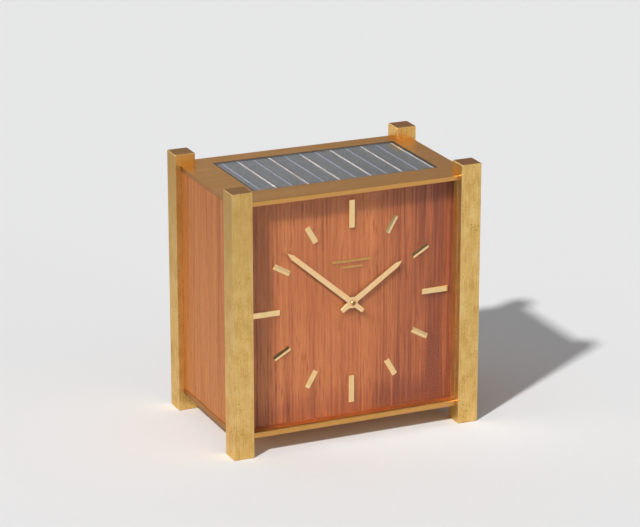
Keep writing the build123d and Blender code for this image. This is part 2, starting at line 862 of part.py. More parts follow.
def front_plate():
    """Front movement plate with the stud of the minute wheel."""
    y0, y1 = front_plate_front, front_plate_back
    slab = square_plate(front_plate_side, y0, y1)
    holes = bearing_holes() + [(centre, centre_arbor_radius + pivot_gap)]
    holes.append((lever_at, pivot_radius + pivot_gap))
    holes += [(spot, m2_clear) for spot in foot_spots + pillar_spots]
    slab = drilled(slab, holes, y0, y1)
    stud_front = y0 - foot_long + 2 * end_shake
    return slab + rod_y(minute_at, minute_stud_radius, stud_front, y0)


def back_plate():
    y0, y1 = back_plate_front, back_plate_back
    slab = square_plate(back_plate_side, y0, y1)
    holes = bearing_holes() + [(centre, pivot_radius + pivot_gap)]
    holes += [(spot, m2_clear) for spot in pillar_spots]
    slab = drilled(slab, holes, y0, y1)
    return drilled(slab, [(spot, m2_shank) for spot in bracket_spots], y0, y1)


def pillars():
    posts = []
    for spot in pillar_spots:
        pillar = rod_y(spot, pillar_radius, front_plate_back, back_plate_front)
        for y, out in ((front_plate_back, 1), (back_plate_front, -1)):
            pillar -= rod((spot[0], y, spot[1]), (0, out, 0), m2_shank, m2_reach + past)
        posts.append(pillar)
    return posts


def pillar_screws():
    length = movement_plate_thick + m2_reach
    screws = []
    for x, z in pillar_spots:
        screws.append(screw((x, front_plate_front, z), (0, -1, 0), length))
        screws.append(screw((x, back_plate_back, z), (0, 1, 0), length))
    return screws


def movement_feet():
    """Spacers between the dial and the front movement plate."""
    return [
        rod_y(spot, foot_radius, dial_back, front_plate_front)
        - rod_y(spot, m2_clear, dial_back - past, front_plate_front + past)
        for spot in foot_spots
    ]


def movement_screws():
    reach = movement_plate_thick + foot_long + m2_reach / 2
    return [screw((x, front_plate_back, z), (0, 1, 0), reach) for x, z in foot_spots]


# ================================================================ going train
def level(behind_plate):
    return front_plate_back + behind_plate


def barrel_phase():
    return meshed(barrel_angle, centre_leaves, 0, barrel_teeth)


def drum_back():
    return level(barrel_level) + drum_long


def barrel():
    """Toothed cup that holds the mainspring."""
    y0 = level(barrel_level)
    cup = rod_y(barrel_at, drum_radius, y0, drum_back() - drum_floor)
    flange = gear(
        barrel_at, barrel_teeth, drive_module, barrel_phase(), wheel_form, y0, 2 * wheel_thick
    )
    cup += flange
    cup -= rod_y(barrel_at, drum_radius - drum_wall, y0 + drum_floor, drum_back())
    return cup - rod_y(barrel_at, barrel_arbor_radius + pivot_gap, y0 - past, drum_back())


def barrel_cover():
    cover = rod_y(barrel_at, drum_radius, drum_back() - drum_floor, drum_back())
    return cover - rod_y(barrel_at, barrel_arbor_radius + pivot_gap, level(0), drum_back() + past)


def coil(spot, inner, outer, turns, strip, y0, y1):
    """Flat coiled strip made of half circles whose centres alternate."""
    step = (outer - inner) / (2 * turns)
    edges = []
    ends = []
    for grow in (strip / 2, -strip / 2):
        for half_turn in range(2 * turns):
            radius = inner + half_turn * step + grow
            middle = spot[0] + (half_turn % 2) * step
            side = -1 if half_turn % 2 else 1
            start, last = (middle + side * radius, spot[1]), (middle - side * radius, spot[1])
            edges.append(ThreePointArc(start, (middle, spot[1] + side * radius), last))
            if half_turn in (0, 2 * turns - 1):
                ends.append(last if half_turn else start)
    edges += [Line(ends[0], ends[2]), Line(ends[1], ends[3])]
    face = Plane((0, y1, 0), x_dir=(1, 0, 0), z_dir=(0, -1, 0)) * make_face(edges)
    return extrude(face, amount=y1 - y0, dir=(0, -1, 0))


def mainspring():
    inner = spring_core + spring_play + spring_strip / 2
    outer = drum_radius - drum_wall - spring_play - spring_strip / 2
    y0 = level(barrel_level) + drum_floor + spring_play
    y1 = drum_back() - drum_floor - spring_play
    return coil(barrel_at, inner, outer, spring_turns, spring_strip, y0, y1)


def barrel_arbor():
    """Winding arbor: spring core inside the drum, winding wheel behind the back plate."""
    wheel_front = back_plate_back + winding_wheel_level
    shaft = rod_y(
        barrel_at, barrel_arbor_radius, front_plate_front + pivot_sunk, wheel_front + wheel_thick
    )
    core_front = level(barrel_level) + drum_floor + spring_play
    core = rod_y(barrel_at, spring_core, core_front, drum_back() - drum_floor - spring_play)
    wheel = gear(
        barrel_at, winding_teeth, drive_module, 0, wheel_form, wheel_front, wheel_thick
    )
    wheel = crossed(wheel, barrel_at, winding_teeth * drive_module / 2, wheel_front, wheel_thick)
    return shaft + core + wheel


def centre_wheel():
    """Centre arbor; it runs through the dial inside the cannon pinion."""
    y0 = level(centre_wheel_level)
    shaft = rod_y(
        centre, centre_arbor_radius, minute_front - arbor_nose, back_plate_front - end_shake
    )
    pivot = rod_y(centre, pivot_radius, y0, back_plate_back - pivot_sunk)
    leaves = gear(
        centre, centre_leaves, drive_module, 0, leaf_form,
        level(barrel_level) - short_over, 2 * (wheel_thick + short_over),
    )
    wheel = gear(centre, centre_teeth, drive_module, 0, wheel_form, y0, wheel_thick)
    wheel = crossed(wheel, centre, centre_teeth * drive_module / 2, y0, wheel_thick)
    return shaft + pivot + leaves + wheel


def train_arbor(spot, wheel, pinion):
    """Arbor with one wheel and one pinion: (teeth, module, phase, level) each."""
    solid = arbor(spot)
    teeth, module, phase, up = wheel
    rim = gear(spot, teeth, module, phase, wheel_form, level(up), wheel_thick)
    solid += crossed(rim, spot, teeth * module / 2, level(up), wheel_thick)
    leaves, module, phase, up = pinion
    solid += gear(
        spot, leaves, module, phase, leaf_form, level(up) - leaf_over,
        wheel_thick + 2 * leaf_over,
    )
    return solid


def third_wheel():
    pinion_phase = meshed(third_angle, centre_teeth, 0, third_leaves)
    return train_arbor(
        third_at,
        (third_teeth, third_module, 0, third_wheel_level),
        (third_leaves, drive_module, pinion_phase, centre_wheel_level),
    )


def fourth_wheel():
    pinion_phase = meshed(fourth_angle, third_teeth, 0, fourth_leaves)
    return train_arbor(
        fourth_at,
        (fourth_teeth, fourth_module, 0, fourth_wheel_level),
        (fourth_leaves, third_module, pinion_phase, third_wheel_level),
    )


def escape_wheel():
    """Fifteen slanted teeth on the fastest arbor."""
    pinion_phase = meshed(escape_angle, fourth_teeth, 0, escape_leaves)
    solid = arbor(escape_at)
    solid += gear(
        escape_at, escape_leaves, fourth_module, pinion_phase, leaf_form,
        level(fourth_wheel_level) - leaf_over, wheel_thick + 2 * leaf_over,
    )
    points = []
    for tooth in range(escape_teeth):
        start = tooth * 360 / escape_teeth
        for radius, turn in zip((escape_root, escape_tip, escape_tip, escape_root), escape_slant):
            points.append(polar(escape_at, radius, start + turn))
    y0 = level(escape_level)
    wheel = sheet_y(points, y0, y0 + escape_thick)
    return solid + crossed(wheel, escape_at, escape_root, y0, escape_thick)


# ================================================================ escapement
def lever_outline():
    """Pallet lever in its own axes: towards the balance, and across."""
    tip_along = (escape_tip + lever_gap) * cos(radians(pallet_angle)) - lever_to_escape
    tip_across = (escape_tip + lever_gap) * sin(radians(pallet_angle))
    half = [
        (lever_reach, notch_half), (lever_reach, fork_half), (lever_reach - fork_long, fork_half),
        (lever_reach - fork_long - stem_half, stem_half), (2 * stem_half, stem_half),
        (-stem_half / 2, tip_across + pallet_wide), (tip_along, tip_across + pallet_wide),
        (tip_along, tip_across), (tip_along + pallet_wide, tip_across), (-stem_half, stem_half),
    ]
    notch = [(lever_reach - notch_deep, -notch_half), (lever_reach - notch_deep, notch_half)]
    return notch + half + [(u, -v) for u, v in reversed(half)]


def pallet_fork():
    points = [
        polar(polar(lever_at, u, lever_angle), v, lever_angle + 90) for u, v in lever_outline()
    ]
    y0 = level(escape_level)
    fork = sheet_y(points, y0, y0 + escape_thick)
    shaft = rod_y(lever_at, lever_staff_radius, level(end_shake), level(bridge_level - end_shake))
    pivot = rod_y(
        lever_at, pivot_radius, front_plate_front + pivot_sunk,
        level(bridge_level) + bridge_thick - pivot_sunk / 2,
    )
    return fork + shaft + pivot


def pallet_bridge():
    """Bar on two feet that carries the lever's rear pivot."""
    y0, y1 = level(bridge_level), level(bridge_level) + bridge_thick
    half = bridge_wide / 2
    points = []
    for spot, turn, sides in zip(bridge_foot_spots(), (90, -90), ((-1, 1), (1, -1))):
        end = polar(spot, half, lever_angle + turn)
        points += [polar(end, side * half, lever_angle) for side in sides]
    bar = sheet_y(points, y0, y1)
    for spot in bridge_foot_spots():
        bar += rod_y(spot, half, front_plate_back, y0)
        bar -= rod_y(spot, bridge_screw[0], y0 - m2_reach, y1 + past)
    return bar - rod_y(lever_at, pivot_radius + pivot_gap, y0 - past, y1 + past)


def bridge_screws():
    y = level(bridge_level) + bridge_thick
    return [screw((x, y, z), (0, 1, 0), m2_reach, *bridge_screw) for x, z in bridge_foot_spots()]


def balance_wheel():
    """Rim on two spokes, staff, and the roller whose pin works the lever."""
    y0 = level(balance_level)
    rim = rod_y(balance_at, balance_radius, y0, y0 + balance_thick)
    rim -= rod_y(balance_at, balance_radius - balance_rim, y0 - past, y0 + balance_thick + past)
    ends = [polar(balance_at, side * (balance_radius - balance_rim / 2), 0) for side in (-1, 1)]
    half = balance_spoke / 2
    rim += block(
        ends[0][0], ends[1][0], y0, y0 + balance_thick, balance_at[1] - half, balance_at[1] + half
    )
    rim += rod_y(balance_at, balance_hub, y0, y0 + balance_thick)
    roller_y = level(roller_level)
    rim += rod_y(balance_at, roller_radius, roller_y, roller_y + roller_thick)
    pin_at = polar(balance_at, impulse_radius, lever_angle + 180)
    rim += rod_y(pin_at, impulse_pin, roller_y, roller_y + impulse_long)
    return rim + arbor(balance_at)


def hairspring():
    inner = arbor_radius + hairspring_strip
    y0 = level(hairspring_level)
    return coil(
        balance_at, inner, hairspring_radius, hairspring_turns, hairspring_strip,
        y0, y0 + hairspring_thick,
    )


def hairspring_stud():
    """Post on the back plate that holds the spring's outer end."""
    spot = polar(balance_at, hairspring_radius + hairspring_strip / 2 + stud_radius, 0)
    return rod_y(spot, stud_radius, level(hairspring_level), back_plate_front)


# ================================================================ motion work
def minute_wheel_phase():
    return meshed(minute_angle, cannon_leaves, 0, minute_teeth)


def cannon_leaf_span():
    """Front and length of the cannon and setting leaves, level with the minute wheel."""
    front = front_plate_front - minute_wheel_level - wheel_thick - cannon_lead
    return front, cannon_lead + wheel_thick + cannon_over


def cannon_pinion():
    """Tube with leaves that turns on the centre arbor and carries the minute hand."""
    front, long = cannon_leaf_span()
    tube = rod_y(centre, cannon_radius, nut_front + cannon_sunk, front + long)
    tube += gear(centre, cannon_leaves, drive_module, 0, leaf_form, front, long)
    return tube - rod_y(centre, cannon_bore, nut_front - past, front + long + past)


def minute_wheel():
    """Idler wheel and pinion on the front plate's stud."""
    back = front_plate_front - minute_wheel_level
    wheel = gear(
        minute_at, minute_teeth, drive_module, minute_wheel_phase(), wheel_form,
        back - wheel_thick, wheel_thick,
    )
    leaf_front = front_plate_front - hour_wheel_level - hour_wheel_thick - cannon_over
    wheel += gear(
        minute_at, minute_leaves, hour_module, 0, leaf_form,
        leaf_front, back - wheel_thick - leaf_front,
    )
    wheel += rod_y(minute_at, minute_hub_radius, back, front_plate_front - end_shake)
    return wheel - rod_y(minute_at, minute_stud_radius + running_gap, dial_back, front_plate_front)


def hour_wheel():
    """Wheel on a tube over the cannon pinion; the tube carries the hour hand."""
    back = front_plate_front - hour_wheel_level
    phase = meshed(minute_angle + 180, minute_leaves, 0, hour_teeth)
    front = back - hour_wheel_thick
    wheel = gear(centre, hour_teeth, hour_module, phase, wheel_form, front, hour_wheel_thick)
    wheel += rod_y(centre, hour_radius, hour_front, back)
    return wheel - rod_y(centre, hour_bore, hour_front - past, back + past)


def setting_arbor():
    """Arbor that turns the hands from the back, through both plates."""
    front, long = cannon_leaf_span()
    phase = meshed(setting_angle, minute_teeth, minute_wheel_phase(), setting_leaves)
    end = back_plate_back + knob_reach + knob_bite
    shaft = rod_y(setting_at, setting_arbor_radius, front - setting_nose, end)
    leaves = gear(setting_at, setting_leaves, drive_module, phase, leaf_form, front, long)
    collar_radius, collar_back = setting_collar
    y = back_plate_back
    return shaft + leaves + rod_y(setting_at, collar_radius, y + end_shake, y + collar_back)


def setting_knob():
    """Fluted knob at the rear end of the setting arbor."""
    y0 = back_plate_back + knob_reach
    knob = rod_y(setting_at, knob_radius, y0, y0 + knob_long)
    knob = chamfer(knob.faces().sort_by(Axis.Y)[-1].edges(), knob_bevel)
    radius, outside = knob_flute
    for flute in range(knob_flutes):
        spot = polar(setting_at, knob_radius + outside, flute * 360 / knob_flutes)
        knob -= rod_y(spot, radius, y0 - past, y0 + knob_long + past)
    return knob - rod_y(setting_at, setting_arbor_radius, y0 - past, y0 + knob_bite)


# ================================================================ winding motor
def motor_front():
    return back_plate_back + bracket_level + bracket_thick


def winding_motor():
    """Geared motor can with a rounded rear edge."""
    front = motor_front()
    can = rod_y(motor_at, motor_radius, front, front + motor_long)
    can = fillet(can.faces().sort_by(Axis.Y)[-1].edges(), motor_round)
    bore = motor_shaft_radius + running_gap
    can -= rod_y(motor_at, bore, front - past, front + motor_shaft_in + motor_shaft_play)
    for spot in motor_screw_spots():
        can -= rod_y(spot, motor_screw[0], front - past, front + motor_screw_bite)
    return can


def motor_screw_spots():
    return [polar(motor_at, side * motor_screw_spread, 0) for side in (-1, 1)]


def motor_pinion():
    """Output shaft of the motor with its leaves."""
    front = back_plate_back + winding_wheel_level - motor_leaf_over
    long = wheel_thick + 2 * motor_leaf_over
    phase = meshed(motor_angle, winding_teeth, 0, motor_leaves)
    shaft = rod_y(motor_at, motor_shaft_radius, front, motor_front() + motor_shaft_in)
    return shaft + gear(motor_at, motor_leaves, drive_module, phase, leaf_form, front, long)


def motor_bracket():
    x0, x1, z0, z1 = bracket_box
    y0, y1 = motor_front() - bracket_thick, motor_front()
    bracket = block(x0, x1, y0, y1, centre_z + z0, centre_z + z1)
    holes = [(motor_at, shaft_window)]
    holes += [(spot, motor_screw[0] + fit_gap) for spot in motor_screw_spots()]
    holes += [(spot, m2_clear) for spot in bracket_spots]
    return drilled(bracket, holes, y0, y1)


def bracket_spacers():
    y1 = back_plate_back + bracket_level
    return [
        rod_y(spot, bracket_post_radius, back_plate_back, y1)
        - rod_y(spot, m2_clear, back_plate_back - past, y1 + past)
        for spot in bracket_spots
    ]


def bracket_screws():
    reach = bracket_level + bracket_thick + movement_plate_thick
    return [screw((x, motor_front(), z), (0, 1, 0), reach) for x, z in bracket_spots]


def motor_screws():
    y = motor_front() - bracket_thick
    reach = bracket_thick + motor_screw_bite
    return [screw((x, y, z), (0, -1, 0), reach, *motor_screw) for x, z in motor_screw_spots()]


# ================================================================ accumulators
def holder_y():
    """Middle of the holder."""
    return door_front - holder_back_gap - holder_half()[1]


def cell_rows():
    """Y places of the two cells, side by side."""
    return [holder_y() + side * (cell_radius + cell_side_gap / 2) for side in (-1, 1)]


def cell_row_half():
    """Half length between the contact strips."""
    return (cell_long + cell_nub[1]) / 2


def cell_axis_z():
    return base_top + holder_floor + cell_radius


def holder_half():
    """Half size of the holder along X and Y."""
    half_wide = 2 * cell_radius + cell_side_gap / 2 + cell_edge_gap + holder_rim
    return cell_row_half() + contact_thick + holder_wall, half_wide


def holder_screw_spots():
    return [(side * holder_screw_x, holder_y()) for side in (-1, 1)]


def battery_holder():
    """Moulded cradle with end walls and low side rims."""
    half_long, half_wide = holder_half()
    y0, y1 = holder_y() - half_wide, holder_y() + half_wide
    floor_z = base_top + holder_floor
    tray = block(-half_long, half_long, y0, y1, base_top, floor_z + holder_wall_high)
    inner = half_long - holder_wall
    top = floor_z + holder_wall_high + past
    tray -= block(-inner, inner, y0 + holder_rim, y1 - holder_rim, floor_z, top)
    tray -= block(-inner, inner, y0 - past, y1 + past, floor_z + holder_rim_high, top)
    for x, y in holder_screw_spots():
        tray -= rod((x, y, base_top - past), (0, 0, 1), m2_clear, holder_floor + 2 * past)
    return tray


def holder_screws():
    return [
        screw((x, y, base_top + holder_floor), (0, 0, 1), holder_floor + base_thick * thread_share)
        for x, y in holder_screw_spots()
    ]


def accumulator_cells():
    """Two round cells; the nubs look opposite ways, as in a series pair."""
    cells = []
    for y, way in zip(cell_rows(), (1, -1)):
        start = -way * cell_row_half()
        can = rod((start, y, cell_axis_z()), (way, 0, 0), cell_radius, cell_long)
        can = fillet(can.edges(), cell_round)
        nub = rod((start + way * cell_long, y, cell_axis_z()), (way, 0, 0), *cell_nub)
        cells.append(can + nub)
    return cells


def battery_contacts():
    """Spring strips: one behind each cell on the left, one bridging both on the right."""
    inner = cell_row_half()
    outer = inner + contact_thick
    z0 = base_top + holder_floor
    z1 = z0 + contact_high
    strips = [
        block(-outer, -inner, y - contact_half, y + contact_half, z0, z1) for y in cell_rows()
    ]
    low, high = cell_rows()
    strips.append(block(inner, outer, low - contact_half, high + contact_half, z0, z1))
    return strips


# ================================================================ charging board
def board_screw_spots():
    x, y = board_size[0] / 2 - board_inset, board_size[1] / 2 - board_inset
    return [(board_centre[0] + a, board_centre[1] + b) for a, b in corners(x, y)]


def board_under():
    return base_top + board_post[1]


def board_top():
    return board_under() + board_size[2]


def charging_board():
    x, y = board_centre
    half_x_board, half_y_board = board_size[0] / 2, board_size[1] / 2
    board = block(
        x - half_x_board, x + half_x_board, y - half_y_board, y + half_y_board,
        board_under(), board_top(),
    )
    for spot in board_screw_spots():
        board -= rod((*spot, board_under() - past), (0, 0, 1), m2_clear, board_size[2] + 2 * past)
    return board


def board_spacers():
    radius, high = board_post
    return [
        rod((*spot, base_top), (0, 0, 1), radius, high)
        - rod((*spot, base_top - past), (0, 0, 1), m2_clear, high + 2 * past)
        for spot in board_screw_spots()
    ]


def board_screws():
    reach = board_size[2] + board_post[1] + base_thick * thread_share
    return [screw((*spot, board_top()), (0, 0, 1), reach) for spot in board_screw_spots()]


def board_components():
    """Capacitor, two resistors and a diode, each lying along X on the board."""
    forms = [(capacitor_spot, capacitor), (diode_spot, diode)]
    forms += [(spot, resistor) for spot in resistor_spots]
    x, y = board_centre
    return [
        rod((x + across, y + back, board_top() + radius), (1, 0, 0), radius, long)
        for (across, back), (radius, long) in forms
    ]


# ================================================================ leads
def lead(route):
    """Wire along straight runs joined by large arcs."""
    points = [Vector(*point) for point in route]
    radii = []
    for before, corner, after in zip(points, points[1:], points[2:]):
        run_in, run_out = corner - before, after - corner
        turn = radians(run_in.get_angle(run_out))
        radii.append(arc_share * min(run_in.length, run_out.length) / tan(turn / 2))
    path = FilletPolyline(*route, radius=radii)
    section = Plane(origin=route[0], z_dir=path % 0) * Circle(lead_radius)
    print("lead", round(path.length, 1), "mm, arcs", [round(radius, 1) for radius in radii])
    return sweep(section, path)


def shifted(route, step):
    """The same route moved sideways, for the second wire of a pair."""
    return [tuple(value + move for value, move in zip(point, step)) for point in route]


def cell_leads():
    """From the cell tray down the left side to the board."""
    x, y = board_centre
    top = top_under - tray_thick
    route = [(x + across, y + back, top - drop) for across, back, drop in cell_lead_points]
    across, back, rise = cell_lead_end
    route += [(x + across, y + back, board_top() + rise), (x + across, y + back, board_top())]
    return [lead(route), lead(shifted(route, cell_lead_step))]


def motor_leads():
    """From the motor's rear face down to the board."""
    x, z = motor_at
    bx, by = board_centre
    can_end = motor_front() + motor_long
    route = [(x + motor_lead_points[0][0], can_end, z)]
    route += [(x + across, door_front - gap, z - drop) for across, gap, drop in motor_lead_points]
    across, gap, drop = motor_lead_drop
    route.append((bx + across, can_end - gap, z - drop))
    across, back, rise = motor_lead_end
    route += [(bx + across, by + back, board_top() + rise), (bx + across, by + back, board_top())]
    return [lead(route), lead(shifted(route, motor_lead_step))]


def battery_leads():
    """From the left contact strips over to the board."""
    inner = cell_row_half() + lead_radius
    z = base_top + holder_floor + contact_high
    bx = board_centre[0] + battery_lead_x
    (out_1, share_1, rise_1), (out_2, share_2, rise_2) = battery_lead_points
    leads = []
    for y, back in zip(cell_rows(), battery_lead_ends):
        end = board_centre[1] + back
        leads.append(lead([
            (-inner, y, z), (-inner, y, z + battery_lead_rise),
            (-inner - out_1, y + (end - y) * share_1, z + rise_1),
            (bx - out_2, y + (end - y) * share_2, z + rise_2),
            (bx, end, z), (bx, end, board_top()),
        ]))
    return leads


# ================================================================ write the nodes
def write_case():
    for name, side_x, side_y in (
        ("post_front_left", -1, -1), ("post_front_right", 1, -1),
        ("post_rear_left", -1, 1), ("post_rear_right", 1, 1),
    ):
        save(name, post(side_x, side_y))
    save("top_plate", top_plate())
    save("base_plate", base_plate())
    save("side_panel_left", side_panel(-1))
    save("side_panel_right", side_panel(1))
    save("front_glass", front_glass())
    save(
        "case_screws",
        *frame_screws(), *dial_screws(), *tray_screws(), *holder_screws(), *board_screws(),
    )


def write_dial():
    save("dial_panel", dial_panel())
    save("dial_battens", *dial_battens())
    save("hour_markers", *hour_markers())
    save("dial_bars", *dial_bars())
    save("hour_hand", hour_hand_solid())
    save("minute_hand", minute_hand_solid())
    save("hand_nut", hand_nut())


def write_window():
    glass_low = cover_glass_under()
    save("cell_cover_glass", window_block(0, glass_low, glass_low + cover_glass_thick))
    save("cell_gasket", cell_gasket())
    save("solar_cells", *solar_cells())
    save("cell_ribbons", *cell_ribbons())
    save("cell_tray", cell_tray())


def write_door():
    save("rear_door", rear_door())
    save("door_knob", door_knob())
    save("hinge_sleeves", *hinge_sleeves())
    save("hinge_pins", *hinge_pins())
    save("catch_magnet", catch_magnet())
    save("catch_plate", catch_plate())


def write_movement():
    save("movement_front_plate", front_plate())
    save("movement_back_plate", back_plate())
    save("movement_pillars", *pillars())
    save("movement_feet", *movement_feet())
    save(
        "movement_screws",
        *movement_screws(), *pillar_screws(), *bracket_screws(), *motor_screws(),
    )
    save("barrel", barrel())
    save("barrel_cover", barrel_cover())
    save("mainspring", mainspring())
    save("barrel_arbor", barrel_arbor())
    save("centre_wheel", centre_wheel())
    save("third_wheel", third_wheel())
    save("fourth_wheel", fourth_wheel())
    save("escape_wheel", escape_wheel())
    save("pallet_fork", pallet_fork())
    save("pallet_bridge", pallet_bridge(), *bridge_screws())
    save("balance_wheel", balance_wheel())
    save("hairspring", hairspring())
    save("hairspring_stud", hairspring_stud())
    save("cannon_pinion", cannon_pinion())
    save("minute_wheel", minute_wheel())
    save("hour_wheel", hour_wheel())
    save("setting_arbor", setting_arbor())
    save("setting_knob", setting_knob())


def write_power():
    save("winding_motor", winding_motor())
    save("motor_pinion", motor_pinion())
    save("motor_bracket", motor_bracket(), *bracket_spacers())
    save("battery_holder", battery_holder())
    save("battery_contacts", *battery_contacts())
    save("accumulator_cells", *accumulator_cells())
    save("charging_board", charging_board(), *board_spacers())
    save("board_components", *board_components())
    save("wiring", *cell_leads(), *motor_leads(), *battery_leads())


os.makedirs("parts", exist_ok=True)
write_case()
write_dial()
write_window()
write_door()
write_movement()
write_power()
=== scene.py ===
# %% [markdown]
# # A light-driven desk clock, dressed in Blender
# The clock stands on four square brass posts. A brass plate is let in at the top and at the
# bottom, wood panels close the sides, and a wood dial with gilt bars sits behind a flat pane.
# Twelve silicon strips in the top plate feed a small motor that winds the movement.
# The solids are already exact, so this lesson keeps each one that is right, gives it a real
# finish, and makes new meshes where the eye wants more than a solid shows.

import math

import bmesh
import bpy
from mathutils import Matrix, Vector
from mathutils.geometry import tessellate_polygon


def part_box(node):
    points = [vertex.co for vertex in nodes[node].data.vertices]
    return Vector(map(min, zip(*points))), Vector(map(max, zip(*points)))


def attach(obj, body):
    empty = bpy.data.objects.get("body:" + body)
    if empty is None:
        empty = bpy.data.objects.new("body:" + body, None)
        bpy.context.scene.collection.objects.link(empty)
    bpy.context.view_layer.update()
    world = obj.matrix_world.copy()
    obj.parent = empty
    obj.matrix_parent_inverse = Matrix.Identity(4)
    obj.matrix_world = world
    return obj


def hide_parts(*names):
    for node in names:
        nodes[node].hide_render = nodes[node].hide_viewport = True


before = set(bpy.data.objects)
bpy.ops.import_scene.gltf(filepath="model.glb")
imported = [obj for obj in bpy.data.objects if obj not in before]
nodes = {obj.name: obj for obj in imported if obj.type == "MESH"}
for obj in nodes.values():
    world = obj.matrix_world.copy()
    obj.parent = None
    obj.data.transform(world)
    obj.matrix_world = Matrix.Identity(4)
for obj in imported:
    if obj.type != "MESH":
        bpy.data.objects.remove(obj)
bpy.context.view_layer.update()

# %% [markdown]
# ## Small tools
# Everything is measured in millimetres here and turned into metres at the last moment.
# Paint charts give colours as sRGB hex values, while the renderer mixes light, so one function
# turns a hex value into linear light. One more adds a node, sets its options and joins it up; a
# step of arithmetic between two values is written in place, such as ("ADD", first, second).

# %% Millimetres, colours and nodes
MM = 0.001


def linear(hex_value):
    """An sRGB hex colour as linear red, green, blue and a full alpha."""
    parts = [int(hex_value[i:i + 2], 16) / 255 for i in (1, 3, 5)]
    bent = [c / 12.92 if c <= 0.04045 else ((c + 0.055) / 1.055) ** 2.4 for c in parts]
    return (*bent, 1.0)


def join(tree, node, inputs):
    """Give inputs their value: a number, a colour, a node, an output or a step of arithmetic."""
    for socket, value in inputs.items():
        if isinstance(value, tuple) and isinstance(value[0], str):
            value = put(tree, "ShaderNodeMath", dict(enumerate(value[1:])), operation=value[0])
        if isinstance(value, bpy.types.Node):
            value = next(out for out in value.outputs if out.enabled)
        if isinstance(value, bpy.types.NodeSocket):
            tree.links.new(value, node.inputs[socket])
        else:
            node.inputs[socket].default_value = value


def put(tree, kind, inputs=(), stops=(), **settings):
    """Add a node with its options, its inputs and the stops of its colour ramp."""
    node = tree.nodes.new(kind)
    for name, value in settings.items():
        setattr(node, name, value)
    join(tree, node, dict(inputs))
    for number, (place, hex_value) in enumerate(stops):
        spots = node.color_ramp.elements
        spot = spots[number] if number < len(spots) else spots.new(place)
        spot.position, spot.color = place, linear(hex_value)
    return node


print("brass in linear light:", [round(c, 3) for c in linear("#D9B36C")])

# %% [markdown]
# ## The stage
# The clock stands on a plain pale sweep. One small, fairly hard key light comes from the upper left
# front and throws the long shadow to the right; the pale room fills the rest. A sun lamp keeps
# the floor equally bright everywhere, which a near lamp could not do, and its angle sets how
# soft the shadow's edge is. A weak, very soft fill from the right lifts the shadows on the dial.

# %% Camera, floor and light
scene = bpy.context.scene
scene.view_settings.view_transform = "Standard"


def add_object(name, data, turn=None):
    """Put an object with this data into the scene, turned if a turn is given."""
    made = bpy.data.objects.new(name, data)
    if turn is not None:
        made.rotation_mode, made.rotation_quaternion = "QUATERNION", turn
    scene.collection.objects.link(made)
    return made


VIEW_AZIMUTH, VIEW_ELEVATION = math.radians(-24.01), math.radians(18.397)
VIEW_TARGET = Vector((-2.2, 0.0, 103.8)) * MM
VIEW_DISTANCE = 1840.95 * MM
back = Vector((
    math.sin(VIEW_AZIMUTH) * math.cos(VIEW_ELEVATION),
    -math.cos(VIEW_AZIMUTH) * math.cos(VIEW_ELEVATION),
    math.sin(VIEW_ELEVATION),
))
lens = bpy.data.cameras.new("camera")
lens.lens, lens.sensor_width = 159.6, 36.0
camera = add_object("camera", lens, (-back).to_track_quat("-Z", "Y"))
camera.location = VIEW_TARGET + back * VIEW_DISTANCE
scene.camera = camera

for lamp_name, towards, energy, angle in (
    ("key", (-0.585, -0.384, 0.714), 2.84, 3.4),
    ("fill", (0.4, -0.9, 0.13), 0.41, 24.0),
):
    light = bpy.data.lights.new(lamp_name, "SUN")
    light.energy, light.angle = energy, math.radians(angle)
    add_object(lamp_name, light, Vector(towards).to_track_quat("Z", "Y"))

# The room is not even: pale walls behind, a white ceiling, a dim space before the table, and a
# white card on the right.
FRONT_WALL, REAR_WALL, CEILING, CARD = 0.36, 0.49, 0.31, 0.45
room = bpy.data.worlds.new("pale_room")
room.use_nodes = True
sky = room.node_tree
way = put(sky, "ShaderNodeSeparateXYZ", {
    0: put(sky, "ShaderNodeTexCoord").outputs["Generated"],
}).outputs
depth = put(sky, "ShaderNodeMapRange", {
    "Value": way["Y"], "From Min": -0.5, "From Max": 0.8, "To Min": FRONT_WALL,
    "To Max": REAR_WALL,
}, interpolation_type="SMOOTHSTEP")
dim = put(sky, "ShaderNodeMapRange", {
    "Value": way["Y"], "From Min": -0.95, "From Max": -0.6, "To Min": 0.2,
})
side = put(sky, "ShaderNodeMapRange", {
    "Value": way["X"], "From Min": 0.34, "From Max": 0.44, "To Min": 1.0, "To Max": 0.62,
})
walls = ("MULTIPLY", ("MULTIPLY", depth, side), dim)
rise = put(sky, "ShaderNodeMapRange", {"Value": way["Z"], "From Min": 0.35})
air = put(sky, "ShaderNodeMix", {0: rise, 2: walls, 3: CEILING}, data_type="FLOAT")
card = put(sky, "ShaderNodeMapRange", {
    "Value": ("SUBTRACT", way["X"], way["Y"]),
    "From Min": 1.04, "From Max": 1.38, "To Max": CARD,
}, interpolation_type="SMOOTHSTEP")
join(sky, sky.nodes["Background"], {
    "Color": linear("#F7F8FA"), "Strength": ("ADD", air, card),
})
scene.world = room


def mesh_object(name, verts, faces, smooth=False):
    """A mesh object at the origin, with its place in its vertices (given in metres)."""
    mesh = bpy.data.meshes.new(name)
    mesh.from_pydata(verts, [], faces)
    mesh.polygons.foreach_set("use_smooth", [smooth] * len(mesh.polygons))
    mesh.update()
    return add_object(name, mesh)


FLOOR_HALF = 30.0
floor = mesh_object("floor", [
    (x * FLOOR_HALF, y * FLOOR_HALF, 0) for x, y in ((-1, -1), (1, -1), (1, 1), (-1, 1))
], [(0, 1, 2, 3)])
print("camera at", [round(c, 3) for c in camera.location])

# %% [markdown]
# ## Patterns at their real size
# A finish is only believable when its marks have the right size. This helper makes a soft
# random pattern whose blotches measure so many millimetres along each axis, so that a brushed
# line is thin one way and long the other. It reads Object coordinates, because every piece sits
# unturned at the origin.

# %% A pattern measured in millimetres


